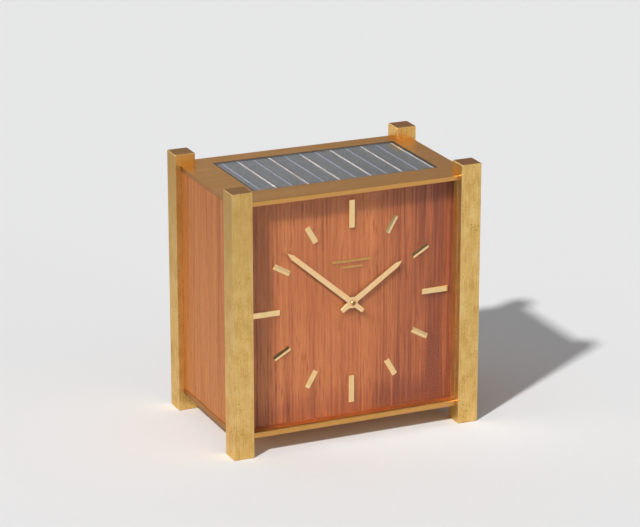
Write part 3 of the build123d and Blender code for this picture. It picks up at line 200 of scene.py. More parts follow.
def pattern(tree, size, detail=2.0, seed=0.0):
    """Random 0 to 1 pattern with blotches of the given size in millimetres."""
    place = put(tree, "ShaderNodeTexCoord").outputs["Object"]
    scaled = put(tree, "ShaderNodeMapping", {
        "Vector": place, "Scale": [1 / (s * MM) for s in size], "Location": (seed,) * 3,
    })
    return put(tree, "ShaderNodeTexNoise", {
        "Vector": scaled, "Scale": 1.0, "Detail": detail, "Roughness": 0.55,
    }).outputs["Fac"]


def blend(tree, parts):
    """Weighted sum of patterns, as one value."""
    total = 0.0
    for source, weight in parts:
        total = put(tree, "ShaderNodeMath", {0: source, 1: weight, 2: total},
                    operation="MULTIPLY_ADD")
    return total


def new_finish(name, **sockets):
    """A material with one Principled shader whose fixed values are set on its own sockets."""
    material = bpy.data.materials.new(name)
    material.use_nodes = True
    tree = material.node_tree
    tree.nodes.clear()
    shader = put(tree, "ShaderNodeBsdfPrincipled", {
        socket.replace("_", " "): value for socket, value in sockets.items()
    })
    put(tree, "ShaderNodeOutputMaterial", {"Surface": shader})
    return material, tree, shader


def surface(tree, shader, tone, stops, rough_dark, rough_light, layers=()):
    """Colour and gloss that follow one pattern. Each layer lays a colour over by its share."""
    colour = put(tree, "ShaderNodeValToRGB", {"Fac": tone}, stops)
    for share, hex_value in layers:
        colour = put(tree, "ShaderNodeMix", {0: share, 6: colour, 7: linear(hex_value)},
                     data_type="RGBA")
    gloss = put(tree, "ShaderNodeMapRange", {
        "Value": tone, "From Min": 0.3, "From Max": 0.7, "To Min": rough_dark,
        "To Max": rough_light,
    })
    join(tree, shader, {"Base Color": colour, "Roughness": gloss})


def relief(tree, shader, height, depth, under=None):
    """Turn a 0 to 1 pattern into bumps so many millimetres deep."""
    inputs = {"Height": height, "Distance": depth * MM, "Strength": 1.0}
    if under is not None:
        inputs["Normal"] = under
    join(tree, shader, {"Normal": put(tree, "ShaderNodeBump", inputs)})


# %% [markdown]
# ## Metal finishes
# Brushed metal is rubbed one way with an abrasive belt, so its marks are fine across and long
# along. Years of handling leave soft patches, small dark spots where lacquer has gone, and
# bright edges where the corner is rubbed bare. The Bevel node rounds every sharp edge a little
# and, compared with the true normal, also tells where an edge is. Where the edge colour is dark,
# as on the brass sheet, it is painted shade.

# %% Brushed metal


def brushed_metal(name, tones, brush, rough, spots=None, patch=(7, 7, 12), edge=0.15,
                  play=0.08, depth=0.004, end_colours_and_shade=(), left_top_shade=None, spread=0.14, drawn=0.0,
                  skim="#FFFFFF", metallic=1.0, seed=0.0):
    """Metal with brush marks of the given size (mm): three tones from dark to light, then the edge
    colour.
    """
    material, tree, shader = new_finish(
        name, Metallic=metallic, Specular_Tint=linear(skim),
    )
    marks = pattern(tree, brush, 3.0, seed)
    cloud = pattern(tree, patch, 3.0, seed + 7)
    grit = pattern(tree, (0.6, 0.6, 0.8), 2.0, seed + 13)
    tone = blend(tree, [(marks, 0.38), (cloud, 0.36), (grit, 0.26)])
    layers = []
    if spots:
        tiny = pattern(tree, (0.9, 0.9, 1.5), 2.0, seed + 3)
        groups = pattern(tree, (9, 9, 14), 1.0, seed + 5)
        there = put(tree, "ShaderNodeMapRange", {
            "Value": blend(tree, [(tiny, 0.72), (groups, 0.28)]),
            "From Min": 0.635, "From Max": 0.69, "To Max": 0.8,
        })
        layers.append((there, spots))
    round_edge = put(tree, "ShaderNodeBevel", {"Radius": edge * MM}, samples=4)
    true = put(tree, "ShaderNodeNewGeometry").outputs["Normal"]
    # Faces that look along an axis get their own colour: browner end faces on the posts, and
    # painted shade on the side edges of the brass sheet.
    for axis, end_tone, share in end_colours_and_shade:
        looks = put(tree, "ShaderNodeSeparateXYZ", {0: true}).outputs[axis]
        end_share_and_shade = put(tree, "ShaderNodeMapRange", {
            "Value": ("ABSOLUTE", looks), "From Min": 0.8, "From Max": 0.95, "To Max": share,
        })
        layers.append((end_share_and_shade, end_tone))
    if left_top_shade:
        # Painted shade: the two posts on the left are painted darker towards their tops, most on
        # their outer faces.
        place = put(tree, "ShaderNodeSeparateXYZ", {
            0: put(tree, "ShaderNodeTexCoord").outputs["Object"],
        })
        share = put(tree, "ShaderNodeMapRange", {
            "Value": put(tree, "ShaderNodeSeparateXYZ", {0: true}), "From Min": -0.5,
            "From Max": -0.9, "To Min": 0.45, "To Max": 1.0,
        })
        for axis, start, end in (("Z", 60, 165), ("X", -50, -70)):
            share = put(tree, "ShaderNodeMapRange", {
                "Value": place.outputs[axis], "From Min": start * MM, "From Max": end * MM,
                "To Max": share,
            })
        layers.append((share, left_top_shade))
    facing = put(tree, "ShaderNodeVectorMath", {0: round_edge, 1: true},
                 operation="DOT_PRODUCT").outputs["Value"]
    # Edge colour from tones[3]: rubbed-bare wear where it is light, painted shade where it is dark,
    # as on the brass sheet.
    edge_wear_and_shade = put(tree, "ShaderNodeMapRange", {
        "Value": facing, "From Min": 0.99, "From Max": 0.85, "To Max": 0.7,
    })
    layers.append((edge_wear_and_shade, tones[3]))
    stops = [(0.5 - spread, tones[0]), (0.5 + spread, tones[2]), (0.5, tones[1])]
    surface(tree, shader, tone, stops, rough + play, rough - play, layers)
    if drawn:
        # Upright brush lines spread a reflection sideways much more than up and down.
        across = put(tree, "ShaderNodeVectorMath", {0: true, 1: (0.01, 0.0, 1.0)},
                     operation="CROSS_PRODUCT")
        join(tree, shader, {"Tangent": across, "Anisotropic": drawn})
    relief(tree, shader, marks, depth, round_edge)
    return material


# Lacquered brass bar, brushed along the post. Warm yellow, softly mottled, dark spots, and end
# faces coloured browner than the sides. The two left posts get painted shade towards their tops.
post_brass = brushed_metal(
    "brushed_lacquered_brass_bar", ("#C18E40", "#EBC274", "#FADB98", "#FFEFC6"),
    (0.5, 0.5, 18), 0.4, spots="#5F451C", end_colours_and_shade=(("Z", "#CB8A5E", 0.8),), left_top_shade="#C79F5C",
    edge=0.35, spread=0.19, drawn=0.85,
)
# The same metal as sheet, brushed from side to side and kept cleaner. Painted shade darkens its
# side edges and its rounded edges, and its front and back edges are a duller tan.
plate_brass = brushed_metal(
    "brushed_brass_sheet", ("#D89C54", "#ECB26A", "#F8C282", "#8F6337"), (26, 0.5, 0.5), 0.36,
    patch=(20, 12, 12), end_colours_and_shade=(("X", "#8A5C36", 0.75), ("Y", "#C59453", 0.85)), spread=0.26,
    skim="#FFF0E4",
)
# Movement parts are machined brass with a fine dull grain.
movement_brass = brushed_metal(
    "grained_clockwork_brass", ("#B28A45", "#D2AC62", "#E4C47E", "#F7DFA6"), (9, 0.3, 0.3), 0.3,
    patch=(5, 5, 5), edge=0.12,
)
# Turned brass shows fine rings; here the marks are short, because the parts are small.
turned_brass = brushed_metal(
    "turned_brass", ("#B98C46", "#DDB368", "#EBCB86", "#FBE3AE"), (1.2, 0.25, 1.2), 0.22,
    patch=(3, 3, 3), edge=0.12,
)
# Gold-plated brass of bars and hands: bright, smooth, faintly clouded.
gilt = brushed_metal(
    "gilt_brass", ("#FAC68C", "#FFD49C", "#FFDEAC", "#FFF0D6"), (0.4, 0.4, 4), 0.2,
    patch=(5, 5, 5), edge=0.1, play=0.04, depth=0.001,
)
# The two plain bars are left satin, so they stay quieter than the hour bars.
satin_gilt = brushed_metal(
    "satin_gilt_brass", ("#B48448", "#C6965A", "#D6A86C", "#F0D6A8"), (0.4, 0.4, 4), 0.36,
    patch=(2, 2, 2), edge=0.1, spread=0.2,
)
# The bars are polished harder than the hands, so each face mirrors its own surroundings.
bar_gilt = brushed_metal(
    "mirror_polished_gilt_brass", ("#F6CA88", "#FDD89C", "#FFE0AE", "#FFF0D6"), (0.4, 0.4, 4),
    0.1, patch=(5, 5, 5), edge=0.1, play=0.03, depth=0.0005,
)
# The seat behind the hour hand is coloured dark brown to stay quiet; on the pipe in the nut
# the same brown is painted shade in the hole of the nut.
browned_and_shaded = brushed_metal(
    "browned_brass_with_painted_shade", ("#6A4028", "#7C4C30", "#8E5A3A", "#E0B984"), (1.2, 0.25, 1.2), 0.34,
    patch=(3, 3, 3), edge=0.1,
)
# Screws and arbors are polished steel, springs are tempered, and the motor's can is zinc plated.
steel = brushed_metal(
    "polished_steel", ("#9A9CA0", "#B9BBBE", "#D0D2D4", "#ECEDEF"), (3, 0.2, 0.2), 0.24,
    patch=(4, 4, 4), edge=0.12,
)
spring_steel = brushed_metal(
    "tempered_spring_steel", ("#5E6470", "#7C828E", "#9BA1AB", "#C2C7CE"), (3, 0.2, 0.2), 0.28,
    patch=(3, 3, 3), edge=0.1,
)
motor_metal = brushed_metal(
    "zinc_plated_steel_can", ("#8E908E", "#ABADA9", "#C3C4BE", "#DDDDD8"), (0.5, 12, 0.5), 0.32,
    patch=(6, 6, 6), edge=0.3,
)
print("the post is", post_brass.name, "and the other metals are ready")

# %% [markdown]
# ## Wood finishes
# The dial and the panels are straight-grained veneer under a thin satin lacquer. Seen close, the
# wood is broad bands from the growth rings, finer streaks, and short dark pores. All of them run
# upright, so every pattern here is much longer along Z than across.

# %% Straight-grained veneer


def veneer(name, tones, pore, band=9.0, lacquer=0.04, rough=0.5, shade_ramps=(), seed=0.0):
    """Wood with upright grain. Painted shade darkens it along an axis, from one place to another,
    for each ramp given.
    """
    material, tree, shader = new_finish(
        name, Coat_Weight=lacquer, Coat_Roughness=0.22, IOR=1.5, Specular_IOR_Level=0.3,
    )
    bands = pattern(tree, (band, band, 420), 2.0, seed)
    streaks = pattern(tree, (1.5, 1.5, 90), 4.0, seed + 11)
    fibres = pattern(tree, (0.45, 0.45, 16), 3.0, seed + 23)
    parts = [(bands, 0.27), (streaks, 0.57), (fibres, 0.16)]
    place = put(tree, "ShaderNodeSeparateXYZ", {
        0: put(tree, "ShaderNodeTexCoord").outputs["Object"],
    })
    for axis, start, end, amount in shade_ramps:
        side = put(tree, "ShaderNodeMapRange", {
            "Value": place.outputs[axis], "From Min": start * MM, "From Max": end * MM,
            "To Max": -amount,
        }, interpolation_type="SMOOTHSTEP")
        parts.append((side, 1.0))
    pores = put(tree, "ShaderNodeMapRange", {
        "Value": pattern(tree, (0.42, 0.42, 9), 1.0, seed + 31), "From Min": 0.6,
        "From Max": 0.74, "To Max": 0.75,
    })
    stops = [(0.28, tones[0]), (0.72, tones[3]), (0.42, tones[1]), (0.55, tones[2])]
    surface(tree, shader, blend(tree, parts), stops, rough + 0.08, rough - 0.06, [(pores, pore)])
    relief(tree, shader, blend(tree, [(fibres, 0.5), (pores, -0.5)]), 0.02)
    return material


# Painted shade darkens the dial towards its right side and towards its bottom, above the base
# plate.
dial_wood = veneer(
    "satin_lacquered_teak_dial", ("#733822", "#985430", "#AC6539", "#B87545"), "#582313",
    shade_ramps=(("X", 5, 60, 0.17), ("Z", 60, 20, 0.03), ("Z", 38, 22, 0.08)),
)
# Painted shade darkens the panels and the door towards their tops.
panel_wood = veneer(
    "satin_lacquered_teak_panel", ("#955323", "#AE672B", "#BD7437", "#CD8644"), "#6F3A1C",
    shade_ramps=(("Z", 40, 165, 0.08),), seed=40,
)
batten_wood = veneer(
    "planed_beech_batten", ("#B98C5E", "#CDA476", "#DCB98C", "#E8CBA2"), "#8F6238",
    lacquer=0.0, rough=0.6, seed=70,
)
print("wood finishes are ready")

# %% [markdown]
# ## Glass, silicon, rubber and moulded parts
# Clear float glass bends light, but a renderer then darkens what lies under it, because a lamp
# can't be reached in a straight line. The common answer is to let shadow rays pass straight
# through, as real light nearly does in a thin flat pane.

# %% Clear glass


def float_glass(name, tint, ior):
    """Clear glass that lets shadow rays pass."""
    material, tree, shader = new_finish(
        name, Roughness=0.01, IOR=ior, Transmission_Weight=1.0, Base_Color=linear(tint),
    )
    clear = put(tree, "ShaderNodeBsdfTransparent", {"Color": linear(tint)})
    is_shadow = put(tree, "ShaderNodeLightPath").outputs["Is Shadow Ray"]
    both = put(tree, "ShaderNodeMixShader", {0: is_shadow, 1: shader, 2: clear})
    join(tree, tree.nodes["Material Output"], {"Surface": both})
    return material


# The front pane has the non-reflecting coating of a display glass, so the dial shows without
# haze. The coating is stated as a low IOR; bare glass has 1.52, as the cover of the cells does.
front_pane = float_glass("coated_non_reflecting_glass", "#FDFEFD", 1.13)
cell_pane = float_glass("clear_cover_glass", "#F6F9F9", 1.52)

# %% [markdown]
# Moulded plastic and rubber come out of a tool with a fine, even texture and a slight cloud in
# the colour; a fresh cut or a parting line would be smoother. One function covers them, because
# only the colours, the gloss and the size of the texture differ.

# %% Moulded parts


def moulded(name, tones, rough, texture=0.35, depth=0.01, ior=1.5, seed=0.0, **sockets):
    """Even material with a fine surface texture of so many millimetres."""
    material, tree, shader = new_finish(name, IOR=ior, **sockets)
    cloud = pattern(tree, (6, 6, 6), 3.0, seed)
    fine = pattern(tree, (texture,) * 3, 2.0, seed + 5)
    tone = blend(tree, [(cloud, 0.6), (fine, 0.4)])
    surface(tree, shader, tone, [(0.35, tones[0]), (0.65, tones[1])], rough - 0.05, rough + 0.08)
    relief(tree, shader, fine, depth)
    return material


rubber = moulded("grey_neoprene", ("#3A3634", "#4B4643"), 0.62)
phenolic = moulded("black_phenolic_moulding", ("#1B1918", "#2C2927"), 0.4)
ferrite = moulded("sintered_ferrite", ("#2A2A2C", "#3B3B3E"), 0.7, texture=0.2, depth=0.02)
laminate = moulded("paper_phenolic_board", ("#8C5A2A", "#A87138"), 0.38, texture=1.2)
# Rolled conductors dipped in solder: whitish and a little frosted, or dull where flux was left.
tin = brushed_metal(
    "solder_dipped_copper", ("#AE978C", "#DCCBC1", "#F8F1ED", "#FFFDFB"), (0.3, 5, 0.3), 0.4,
    patch=(16, 70, 16), edge=0.05, depth=0.002, metallic=0.25,
)
old_tin = brushed_metal(
    "dull_solder_dipped_copper", ("#8688A0", "#9EA0B6", "#B2B4C8", "#D2D4E0"), (0.3, 5, 0.3),
    0.4, patch=(4, 9, 4), edge=0.05, depth=0.002, metallic=0.5, seed=4,
)
sleeve = moulded("green_shrink_sleeve", ("#1F5A44", "#2C7257"), 0.28, texture=0.6, depth=0.004)
component_lacquer = moulded("component_lacquer", ("#7A3F28", "#8F4E33"), 0.3, texture=0.3)
capacitor_sleeve = moulded("blue_capacitor_sleeve", ("#1D3F7A", "#27509A"), 0.3, depth=0.003)
paint_white, paint_black, paint_brown, paint_red, paint_orange, paint_violet, paint_gold = (
    moulded(f"{name}_marking_enamel", tones, 0.32, texture=0.2, depth=0.002)
    for name, tones in (
        ("white", ("#D8D6CF", "#ECEAE4")), ("black", ("#161616", "#242424")),
        ("brown", ("#4F2C17", "#633A22")), ("red", ("#A3201B", "#BC2F27")),
        ("orange", ("#C9591A", "#DD6D28")), ("violet", ("#5A3C86", "#6D4C9C")),
        ("gold", ("#A88440", "#C29C54")),
    )
)
lead_red = moulded("red_pvc_insulation", ("#8E1F1C", "#A62C26"), 0.34, texture=0.2, depth=0.003)
lead_black = moulded("black_pvc_insulation", ("#151516", "#232325"), 0.34, texture=0.2,
                     depth=0.003)
paper = moulded("pale_studio_sweep", ("#E9E9E9", "#EAEAEA"), 0.9, texture=8.0, depth=0.0,
                Specular_IOR_Level=0.1)
floor.data.materials.append(paper)

# %% [markdown]
# Silicon solar strips are sawn from grey polycrystalline bars, polished, and given a thin
# bluish layer. The crystals make faint flakes of slightly different grey and violet.

# %% Silicon


def silicon_finish():
    """Polished grey silicon with faint crystal flakes."""
    material, tree, shader = new_finish(
        "coated_polycrystalline_silicon", Metallic=0.35, Roughness=0.42,
    )
    place = put(tree, "ShaderNodeTexCoord").outputs["Object"]
    flakes = put(tree, "ShaderNodeTexVoronoi", {
        "Vector": place, "Scale": 1 / (3.2 * MM), "Randomness": 1.0,
    }).outputs["Color"]
    flake = put(tree, "ShaderNodeSeparateColor", {0: flakes}).outputs[0]
    cloud = pattern(tree, (14, 30, 14), 2.0, 3)
    tone = blend(tree, [(flake, 0.3), (cloud, 0.7)])
    colour = put(tree, "ShaderNodeValToRGB", {"Fac": tone},
                 [(0.25, "#3E3E41"), (0.75, "#565052"), (0.5, "#494648")])
    join(tree, shader, {"Base Color": colour})
    relief(tree, shader, flake, 0.003)
    return material


silicon = silicon_finish()
print(silicon.name, "is ready")

# %% [markdown]
# ## Tools for new meshes
# Some solids are too plain for the eye: a screw without its slot, a hand without polished edges,
# a wire without its bare end. Their stand-ins are real meshes, drawn in millimetres where the
# solid is. Every small form below is a list of points, the faces between them and a finish, so
# that several forms can be joined into one piece.

# %% Join forms into a piece


def assemble(name, forms, sharp=32):
    """One mesh from several closed forms, with faces outwards and crisp edges."""
    points, faces, finishes, marks = [], [], [], []
    for spots, rings, finish in forms:
        first = len(points)
        points += [Vector(spot) * MM for spot in spots]
        faces += [[first + i for i in ring] for ring in rings]
        if finish not in finishes:
            finishes.append(finish)
        marks += [finishes.index(finish)] * len(rings)
    made = mesh_object(name, points, faces, smooth=True)
    for finish in finishes:
        made.data.materials.append(finish)
    made.data.polygons.foreach_set("material_index", marks)
    work = bmesh.new()
    work.from_mesh(made.data)
    bmesh.ops.recalc_face_normals(work, faces=work.faces)
    work.to_mesh(made.data)
    work.free()
    made.data.set_sharp_from_angle(angle=math.radians(sharp))
    return made


def settle(name, forms, body, solids):
    """Make a piece that rides on its body and stands for its solids."""
    made = assemble(name, forms)
    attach(made, body)
    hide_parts(*solids.split())
    print(made.name, "rides on", body, "with", len(made.data.polygons), "faces")


# %% [markdown]
# Most small metal parts are turned on a lathe. The same idea makes their mesh: a profile of
# steps, each a distance along the axis and a radius, is swept once round.

# %% Turned forms


def turned(start, out, profile, finish, sides=48, hollow=False):
    """Sweep a profile of (distance, radius) round an axis. A hollow profile closes on itself."""
    turn = Vector(out).to_track_quat("Z", "Y")
    points, rings, faces = [], [], []
    for along, radius in profile:
        count = sides if radius else 1
        rings.append([len(points) + i for i in range(count)])
        for i in range(count):
            angle = 2 * math.pi * i / sides
            points.append(Vector(start) + turn @ Vector(
                (radius * math.cos(angle), radius * math.sin(angle), along)
            ))
    for low, high in zip(rings, rings[1:] + (rings[:1] if hollow else [])):
        for i in range(sides):
            j = (i + 1) % sides
            corners = low[i % len(low)], low[j % len(low)], high[j % len(high)], high[i % len(high)]
            faces.append(list(dict.fromkeys(corners)))
    return points, faces, finish


# %% [markdown]
# Hands and bars are stamped from sheet and then get a fine polished chamfer, which is what
# flashes when a clock is turned in the light. A stamped form is an outline at the back, the same
# outline just behind the front, and a slightly smaller one at the front.

# %% Stamped forms


def inset(outline, distance):
    """A flat outline that runs anticlockwise, moved inwards corner by corner."""
    moved = []
    spots = [Vector(spot) for spot in outline]
    for before, here, after in zip(spots[-1:] + spots[:-1], spots, spots[1:] + spots[:1]):
        into, away = (here - before).normalized(), (after - here).normalized()
        left = Vector((-into.y, into.x)) + Vector((-away.y, away.x))
        moved.append(here + left * distance / (1 + into.dot(away)))
    return moved


def stamped(outline, hole, back, front, edge, finish):
    """Sheet form in X and Z from y = back to y = front, with a chamfer round its front."""
    crown, count, bore = inset(outline, edge), len(outline), len(hole)
    loops = ((outline, back), (outline, front + edge), (crown, front))
    points = [(spot[0], y, spot[1]) for loop, y in loops for spot in loop]
    faces = [
        [low + i, low + (i + 1) % count, low + count + (i + 1) % count, low + count + i]
        for low in (0, count) for i in range(count)
    ]
    first = len(points)
    points += [(x, y, z) for y in (back, front) for x, z in hole]
    faces += [
        [first + i, first + (i + 1) % bore, first + bore + (i + 1) % bore, first + bore + i]
        for i in range(bore)
    ]
    for loop, rim, inner in ((outline, 0, first), (crown, 2 * count, first + bore)):
        flat = [[(*spot, 0) for spot in loop]] + ([[(*spot, 0) for spot in hole]] if hole else [])
        for corners in tessellate_polygon(flat):
            faces.append([rim + i if i < count else inner + i - count for i in corners])
    return points, faces, finish


def circle(middle, radius, sides=32):
    """The corners of a round hole."""
    steps = [2 * math.pi * i / sides for i in range(sides)]
    return [(middle[0] + radius * math.cos(a), middle[1] + radius * math.sin(a)) for a in steps]


# %% [markdown]
# ## Hands
# Both hands are gilt brass: a pointed blade that widens a little towards a round boss, and a
# squared tail that balances it. The outline is worked out once along a line and then turned to
# the time.

# %% Hands and their nut
CENTRE_Z, DIAL_FRONT = 91.2, -43.4
HAND_THICK, HAND_EDGE, HAND_FLARE = 0.5, 0.13, 0.2
HOUR_FRONT, MINUTE_FRONT = -45.5, -46.5
HOUR_ANGLE, MINUTE_ANGLE = 55.9, 310.8


def hand_form(form, clock_angle, bore, front):
    """A hand from its sizes, pointing at a clock angle, with a hole for its pipe."""
    blade = form["wide"] / 2
    root, tail = blade + HAND_FLARE, blade - HAND_FLARE
    swing = math.asin(root / form["boss"])
    arc = [swing + (math.pi - 2 * swing) * i / 12 for i in range(13)]
    boss = [(form["boss"] * math.cos(a), form["boss"] * math.sin(a)) for a in arc]
    above = [(form["tip"], 0), (form["tip"] - form["point"], blade), *boss,
             (-form["tail"], tail)]
    line = above + [(u, -v) for u, v in reversed(above[1:])]
    ray = math.radians(90 - clock_angle)
    outline = [
        (u * math.cos(ray) - v * math.sin(ray),
         CENTRE_Z + u * math.sin(ray) + v * math.cos(ray)) for u, v in line
    ]
    hole = circle((0, CENTRE_Z), bore)
    return stamped(outline, hole, front + HAND_THICK, front, HAND_EDGE, gilt)


def ring_form(inner, outer, front, back, edge, finish):
    """Round washer with a hole, chamfered at its front."""
    return turned((0, front, CENTRE_Z), (0, 1, 0), [
        (0, inner), (0, outer - edge), (edge, outer), (back - front, outer), (back - front, inner),
    ], finish, hollow=True)


hour_sizes = {"tip": 42.4, "tail": 8.9, "wide": 3.7, "point": 4.6, "boss": 3.9}
minute_sizes = {"tip": 60.4, "tail": 9.6, "wide": 3.4, "point": 5.4, "boss": 2.1}
HOUR_BORE, CANNON_BORE = 2.01, 1.3
settle("hour_hand_gilt", [
    hand_form(hour_sizes, HOUR_ANGLE, HOUR_BORE, HOUR_FRONT),
    ring_form(inner=HOUR_BORE, outer=4.4, front=HOUR_FRONT + HAND_THICK,
              back=HOUR_FRONT + HAND_THICK + 0.3, edge=0.08, finish=browned_and_shaded),
], "hour_hand", "hour_hand")
settle("minute_hand_gilt", [
    hand_form(minute_sizes, MINUTE_ANGLE, CANNON_BORE, MINUTE_FRONT),
], "minute_hand", "minute_hand")
settle("hand_nut_gilt", [
    ring_form(inner=CANNON_BORE, outer=1.9, front=MINUTE_FRONT - 1.0, back=MINUTE_FRONT,
              edge=0.35, finish=gilt),
], "minute_hand", "hand_nut")

# %% [markdown]
# ## Growing pieces from a rule
# What repeats is made with Geometry Nodes: the rule is drawn once as a tree with named inputs,
# and the counts and sizes are only numbers. A small host object carries the tree until its
# result is read back as a plain mesh; then the host is thrown away.

# %% Helpers for geometry trees


def new_tree(name, inputs):
    """An empty geometry tree with named inputs, each given as its kind of socket."""
    tree = bpy.data.node_groups.new(name, "GeometryNodeTree")
    for label, kind in inputs.items():
        tree.interface.new_socket(label, in_out="INPUT", socket_type="NodeSocket" + kind)
    tree.interface.new_socket("Shape", in_out="OUTPUT", socket_type="NodeSocketGeometry")
    return tree, put(tree, "NodeGroupInput").outputs


def close_tree(tree, shapes, finish=None):
    """Join shapes, make their instances real, and send them out of the tree."""
    both = put(tree, "GeometryNodeJoinGeometry")
    for shape in shapes:
        join(tree, both, {0: shape})
    real = put(tree, "GeometryNodeRealizeInstances", {0: both})
    if finish is not None:
        real = put(tree, "GeometryNodeSetMaterial", {0: real, "Material": finish})
    put(tree, "NodeGroupOutput", {0: real})
    print(tree.name, "is a tree of", len(tree.nodes), "nodes")


def grow(tree, values, host=None):
    """Run a tree with these values and return the result as a plain mesh in metres."""
    host = host or mesh_object("host", [], [])
    growth = host.modifiers.new("growth", "NODES")
    growth.node_group = tree
    for socket in tree.interface.items_tree:
        if socket.in_out == "INPUT" and socket.name in values:
            growth[socket.identifier] = values[socket.name]
    bpy.context.view_layer.update()
    grown = host.evaluated_get(bpy.context.evaluated_depsgraph_get())
    mesh = bpy.data.meshes.new_from_object(grown)
    bpy.data.objects.remove(host)
    return mesh


def forms_of(mesh):
    """A grown mesh as forms in millimetres, one for each finish, ready to be assembled."""
    forms = []
    for number, finish in enumerate(mesh.materials):
        faces = [face for face in mesh.polygons if face.material_index == number]
        used = sorted({i for face in faces for i in face.vertices})
        place = {old: new for new, old in enumerate(used)}
        spots = [mesh.vertices[i].co / MM for i in used]
        forms.append((spots, [[place[i] for i in face.vertices] for face in faces], finish))
    return forms


# %% [markdown]
# ## Hour bars
# Twelve gilt bars stand on the dial. The four at twelve, three, six and nine are long and flat;
# the eight between them are shorter and ridged like a roof, so that their two slopes reflect
# different parts of the room. Each kind is drawn once at twelve o'clock, and a tree sets both
# kinds round the centre.

# %% One long bar and one short bar
BAR_RISE, BAR_EDGE = 1.2, 0.14
FIELD_HALF = 72.0
LONG_END, LONG_BAR, LONG_WIDE = FIELD_HALF - 3.8, 18.5, 3.9
SHORT_END, SHORT_BAR, SHORT_WIDE, EAVE = FIELD_HALF - 10.0, 12.4, 3.7, 0.6


def flat_bar(low, high, wide):
    """Flat bar from one distance to another above the centre, chamfered all round."""
    half = wide / 2
    outline = [(-half, low), (half, low), (half, high), (-half, high)]
    return stamped(outline, [], 0.0, -BAR_RISE, BAR_EDGE, bar_gilt)


def ridged_bar(low, high, wide, eave):
    """Bar with a roof: two slopes that meet in a ridge along its middle."""
    half, end_colours_and_shade = wide / 2, (low, high)
    points = [(x, y, z) for z in end_colours_and_shade for x, y in (
        (-half, 0), (half, 0), (half, -eave), (0, -BAR_RISE), (-half, -eave),
    )]
    sides = [[i, (i + 1) % 5, 5 + (i + 1) % 5, 5 + i] for i in range(5)]
    return points, [[4, 3, 2, 1, 0], [5, 6, 7, 8, 9], *sides], bar_gilt


long_bar = assemble("long_bar", [flat_bar(LONG_END - LONG_BAR, LONG_END, LONG_WIDE)])
short_bar = assemble("short_bar", [
    ridged_bar(SHORT_END - SHORT_BAR, SHORT_END, SHORT_WIDE, EAVE),
])

# %% The ring of bars
bar_tree, given = new_tree("ring_of_bars", {
    "Long bar": "Object", "Short bar": "Object", "Count": "Int", "Long every": "Float",
    "Centre height": "Float", "Dial front": "Float", "Finish": "Material",
})
middle = put(bar_tree, "ShaderNodeCombineXYZ", {
    "Y": given["Dial front"], "Z": given["Centre height"],
})
seats = put(bar_tree, "GeometryNodePoints", {"Count": given["Count"], "Position": middle})
number = put(bar_tree, "GeometryNodeInputIndex")
share = ("DIVIDE", number, given["Count"])
turn = put(bar_tree, "ShaderNodeCombineXYZ", {"Y": ("MULTIPLY", share, 2 * math.pi)})
rest = ("MODULO", number, given["Long every"])
placed = []
for label, test in (("Long bar", "LESS_THAN"), ("Short bar", "GREATER_THAN")):
    bar = put(bar_tree, "GeometryNodeObjectInfo", {"Object": given[label]}).outputs["Geometry"]
    placed.append(put(bar_tree, "GeometryNodeInstanceOnPoints", {
        "Points": seats, "Instance": bar, "Selection": (test, rest, 0.5), "Rotation": turn,
    }))
close_tree(bar_tree, placed, given["Finish"])
ring = grow(bar_tree, {
    "Long bar": long_bar, "Short bar": short_bar, "Count": 12, "Long every": 3.0,
    "Centre height": CENTRE_Z * MM, "Dial front": DIAL_FRONT * MM, "Finish": bar_gilt,
})
for bar in (long_bar, short_bar):
    bpy.data.objects.remove(bar)
settle("hour_bars", forms_of(ring), "case", "hour_markers")

# %% [markdown]
# Two plain applied bars fill the place under the twelve. They are stamped like the hands.

# %% Two small bars
small_bars = []
for long, high, rise in ((27.4, 1.7, 27.6), (15.2, 1.5, 23.6)):
    half, low = long / 2, CENTRE_Z + rise - high / 2
    outline = [(-half, low), (half, low), (half, low + high), (-half, low + high)]
    small_bars.append(stamped(
        outline, [], back=DIAL_FRONT, front=DIAL_FRONT - 0.5, edge=0.12, finish=satin_gilt))
settle("small_bars", small_bars, "case", "dial_bars")

# %% [markdown]
# ## The light-gathering row
# The window holds twelve silicon strips side by side and a flat tinned conductor on the right
# edge of each. Both follow one rule: they are spaced evenly from the right, and whatever would
# stick out on the left is cut off there, which is why the first strip is narrow. So one tree
# makes them both.

# %% The row of strips
row_tree, given = new_tree("row_from_the_right", {
    "Count": "Int", "First right edge": "Float", "Left limit": "Float", "Pitch": "Float",
    "Wide": "Float", "Low corner": "Vector", "High corner": "Vector", "Crown": "Float",
    "First finish": "Material", "Second finish": "Material",
})
low, high = (
    put(row_tree, "ShaderNodeSeparateXYZ", {0: given[corner]}).outputs
    for corner in ("Low corner", "High corner")
)
number = put(row_tree, "GeometryNodeInputIndex")
right = put(row_tree, "ShaderNodeMath", {
    0: number, 1: given["Pitch"], 2: given["First right edge"],
}, operation="MULTIPLY_ADD")
left = put(row_tree, "ShaderNodeMath", {
    0: ("SUBTRACT", right, given["Wide"]), 1: given["Left limit"],
}, operation="MAXIMUM")
seats = put(row_tree, "GeometryNodePoints", {
    "Count": given["Count"],
    "Position": put(row_tree, "ShaderNodeCombineXYZ", {
        axis: ("MULTIPLY", ("ADD", start, end), 0.5) for axis, start, end in (
            ("X", right, left), ("Y", low["Y"], high["Y"]), ("Z", low["Z"], high["Z"]),
        )
    }),
})
block = put(row_tree, "GeometryNodeMeshCube", {
    "Size": (1.0, 1.0, 1.0), "Vertices X": 5, "Vertices Y": 24, "Vertices Z": 2,
}).outputs["Mesh"]
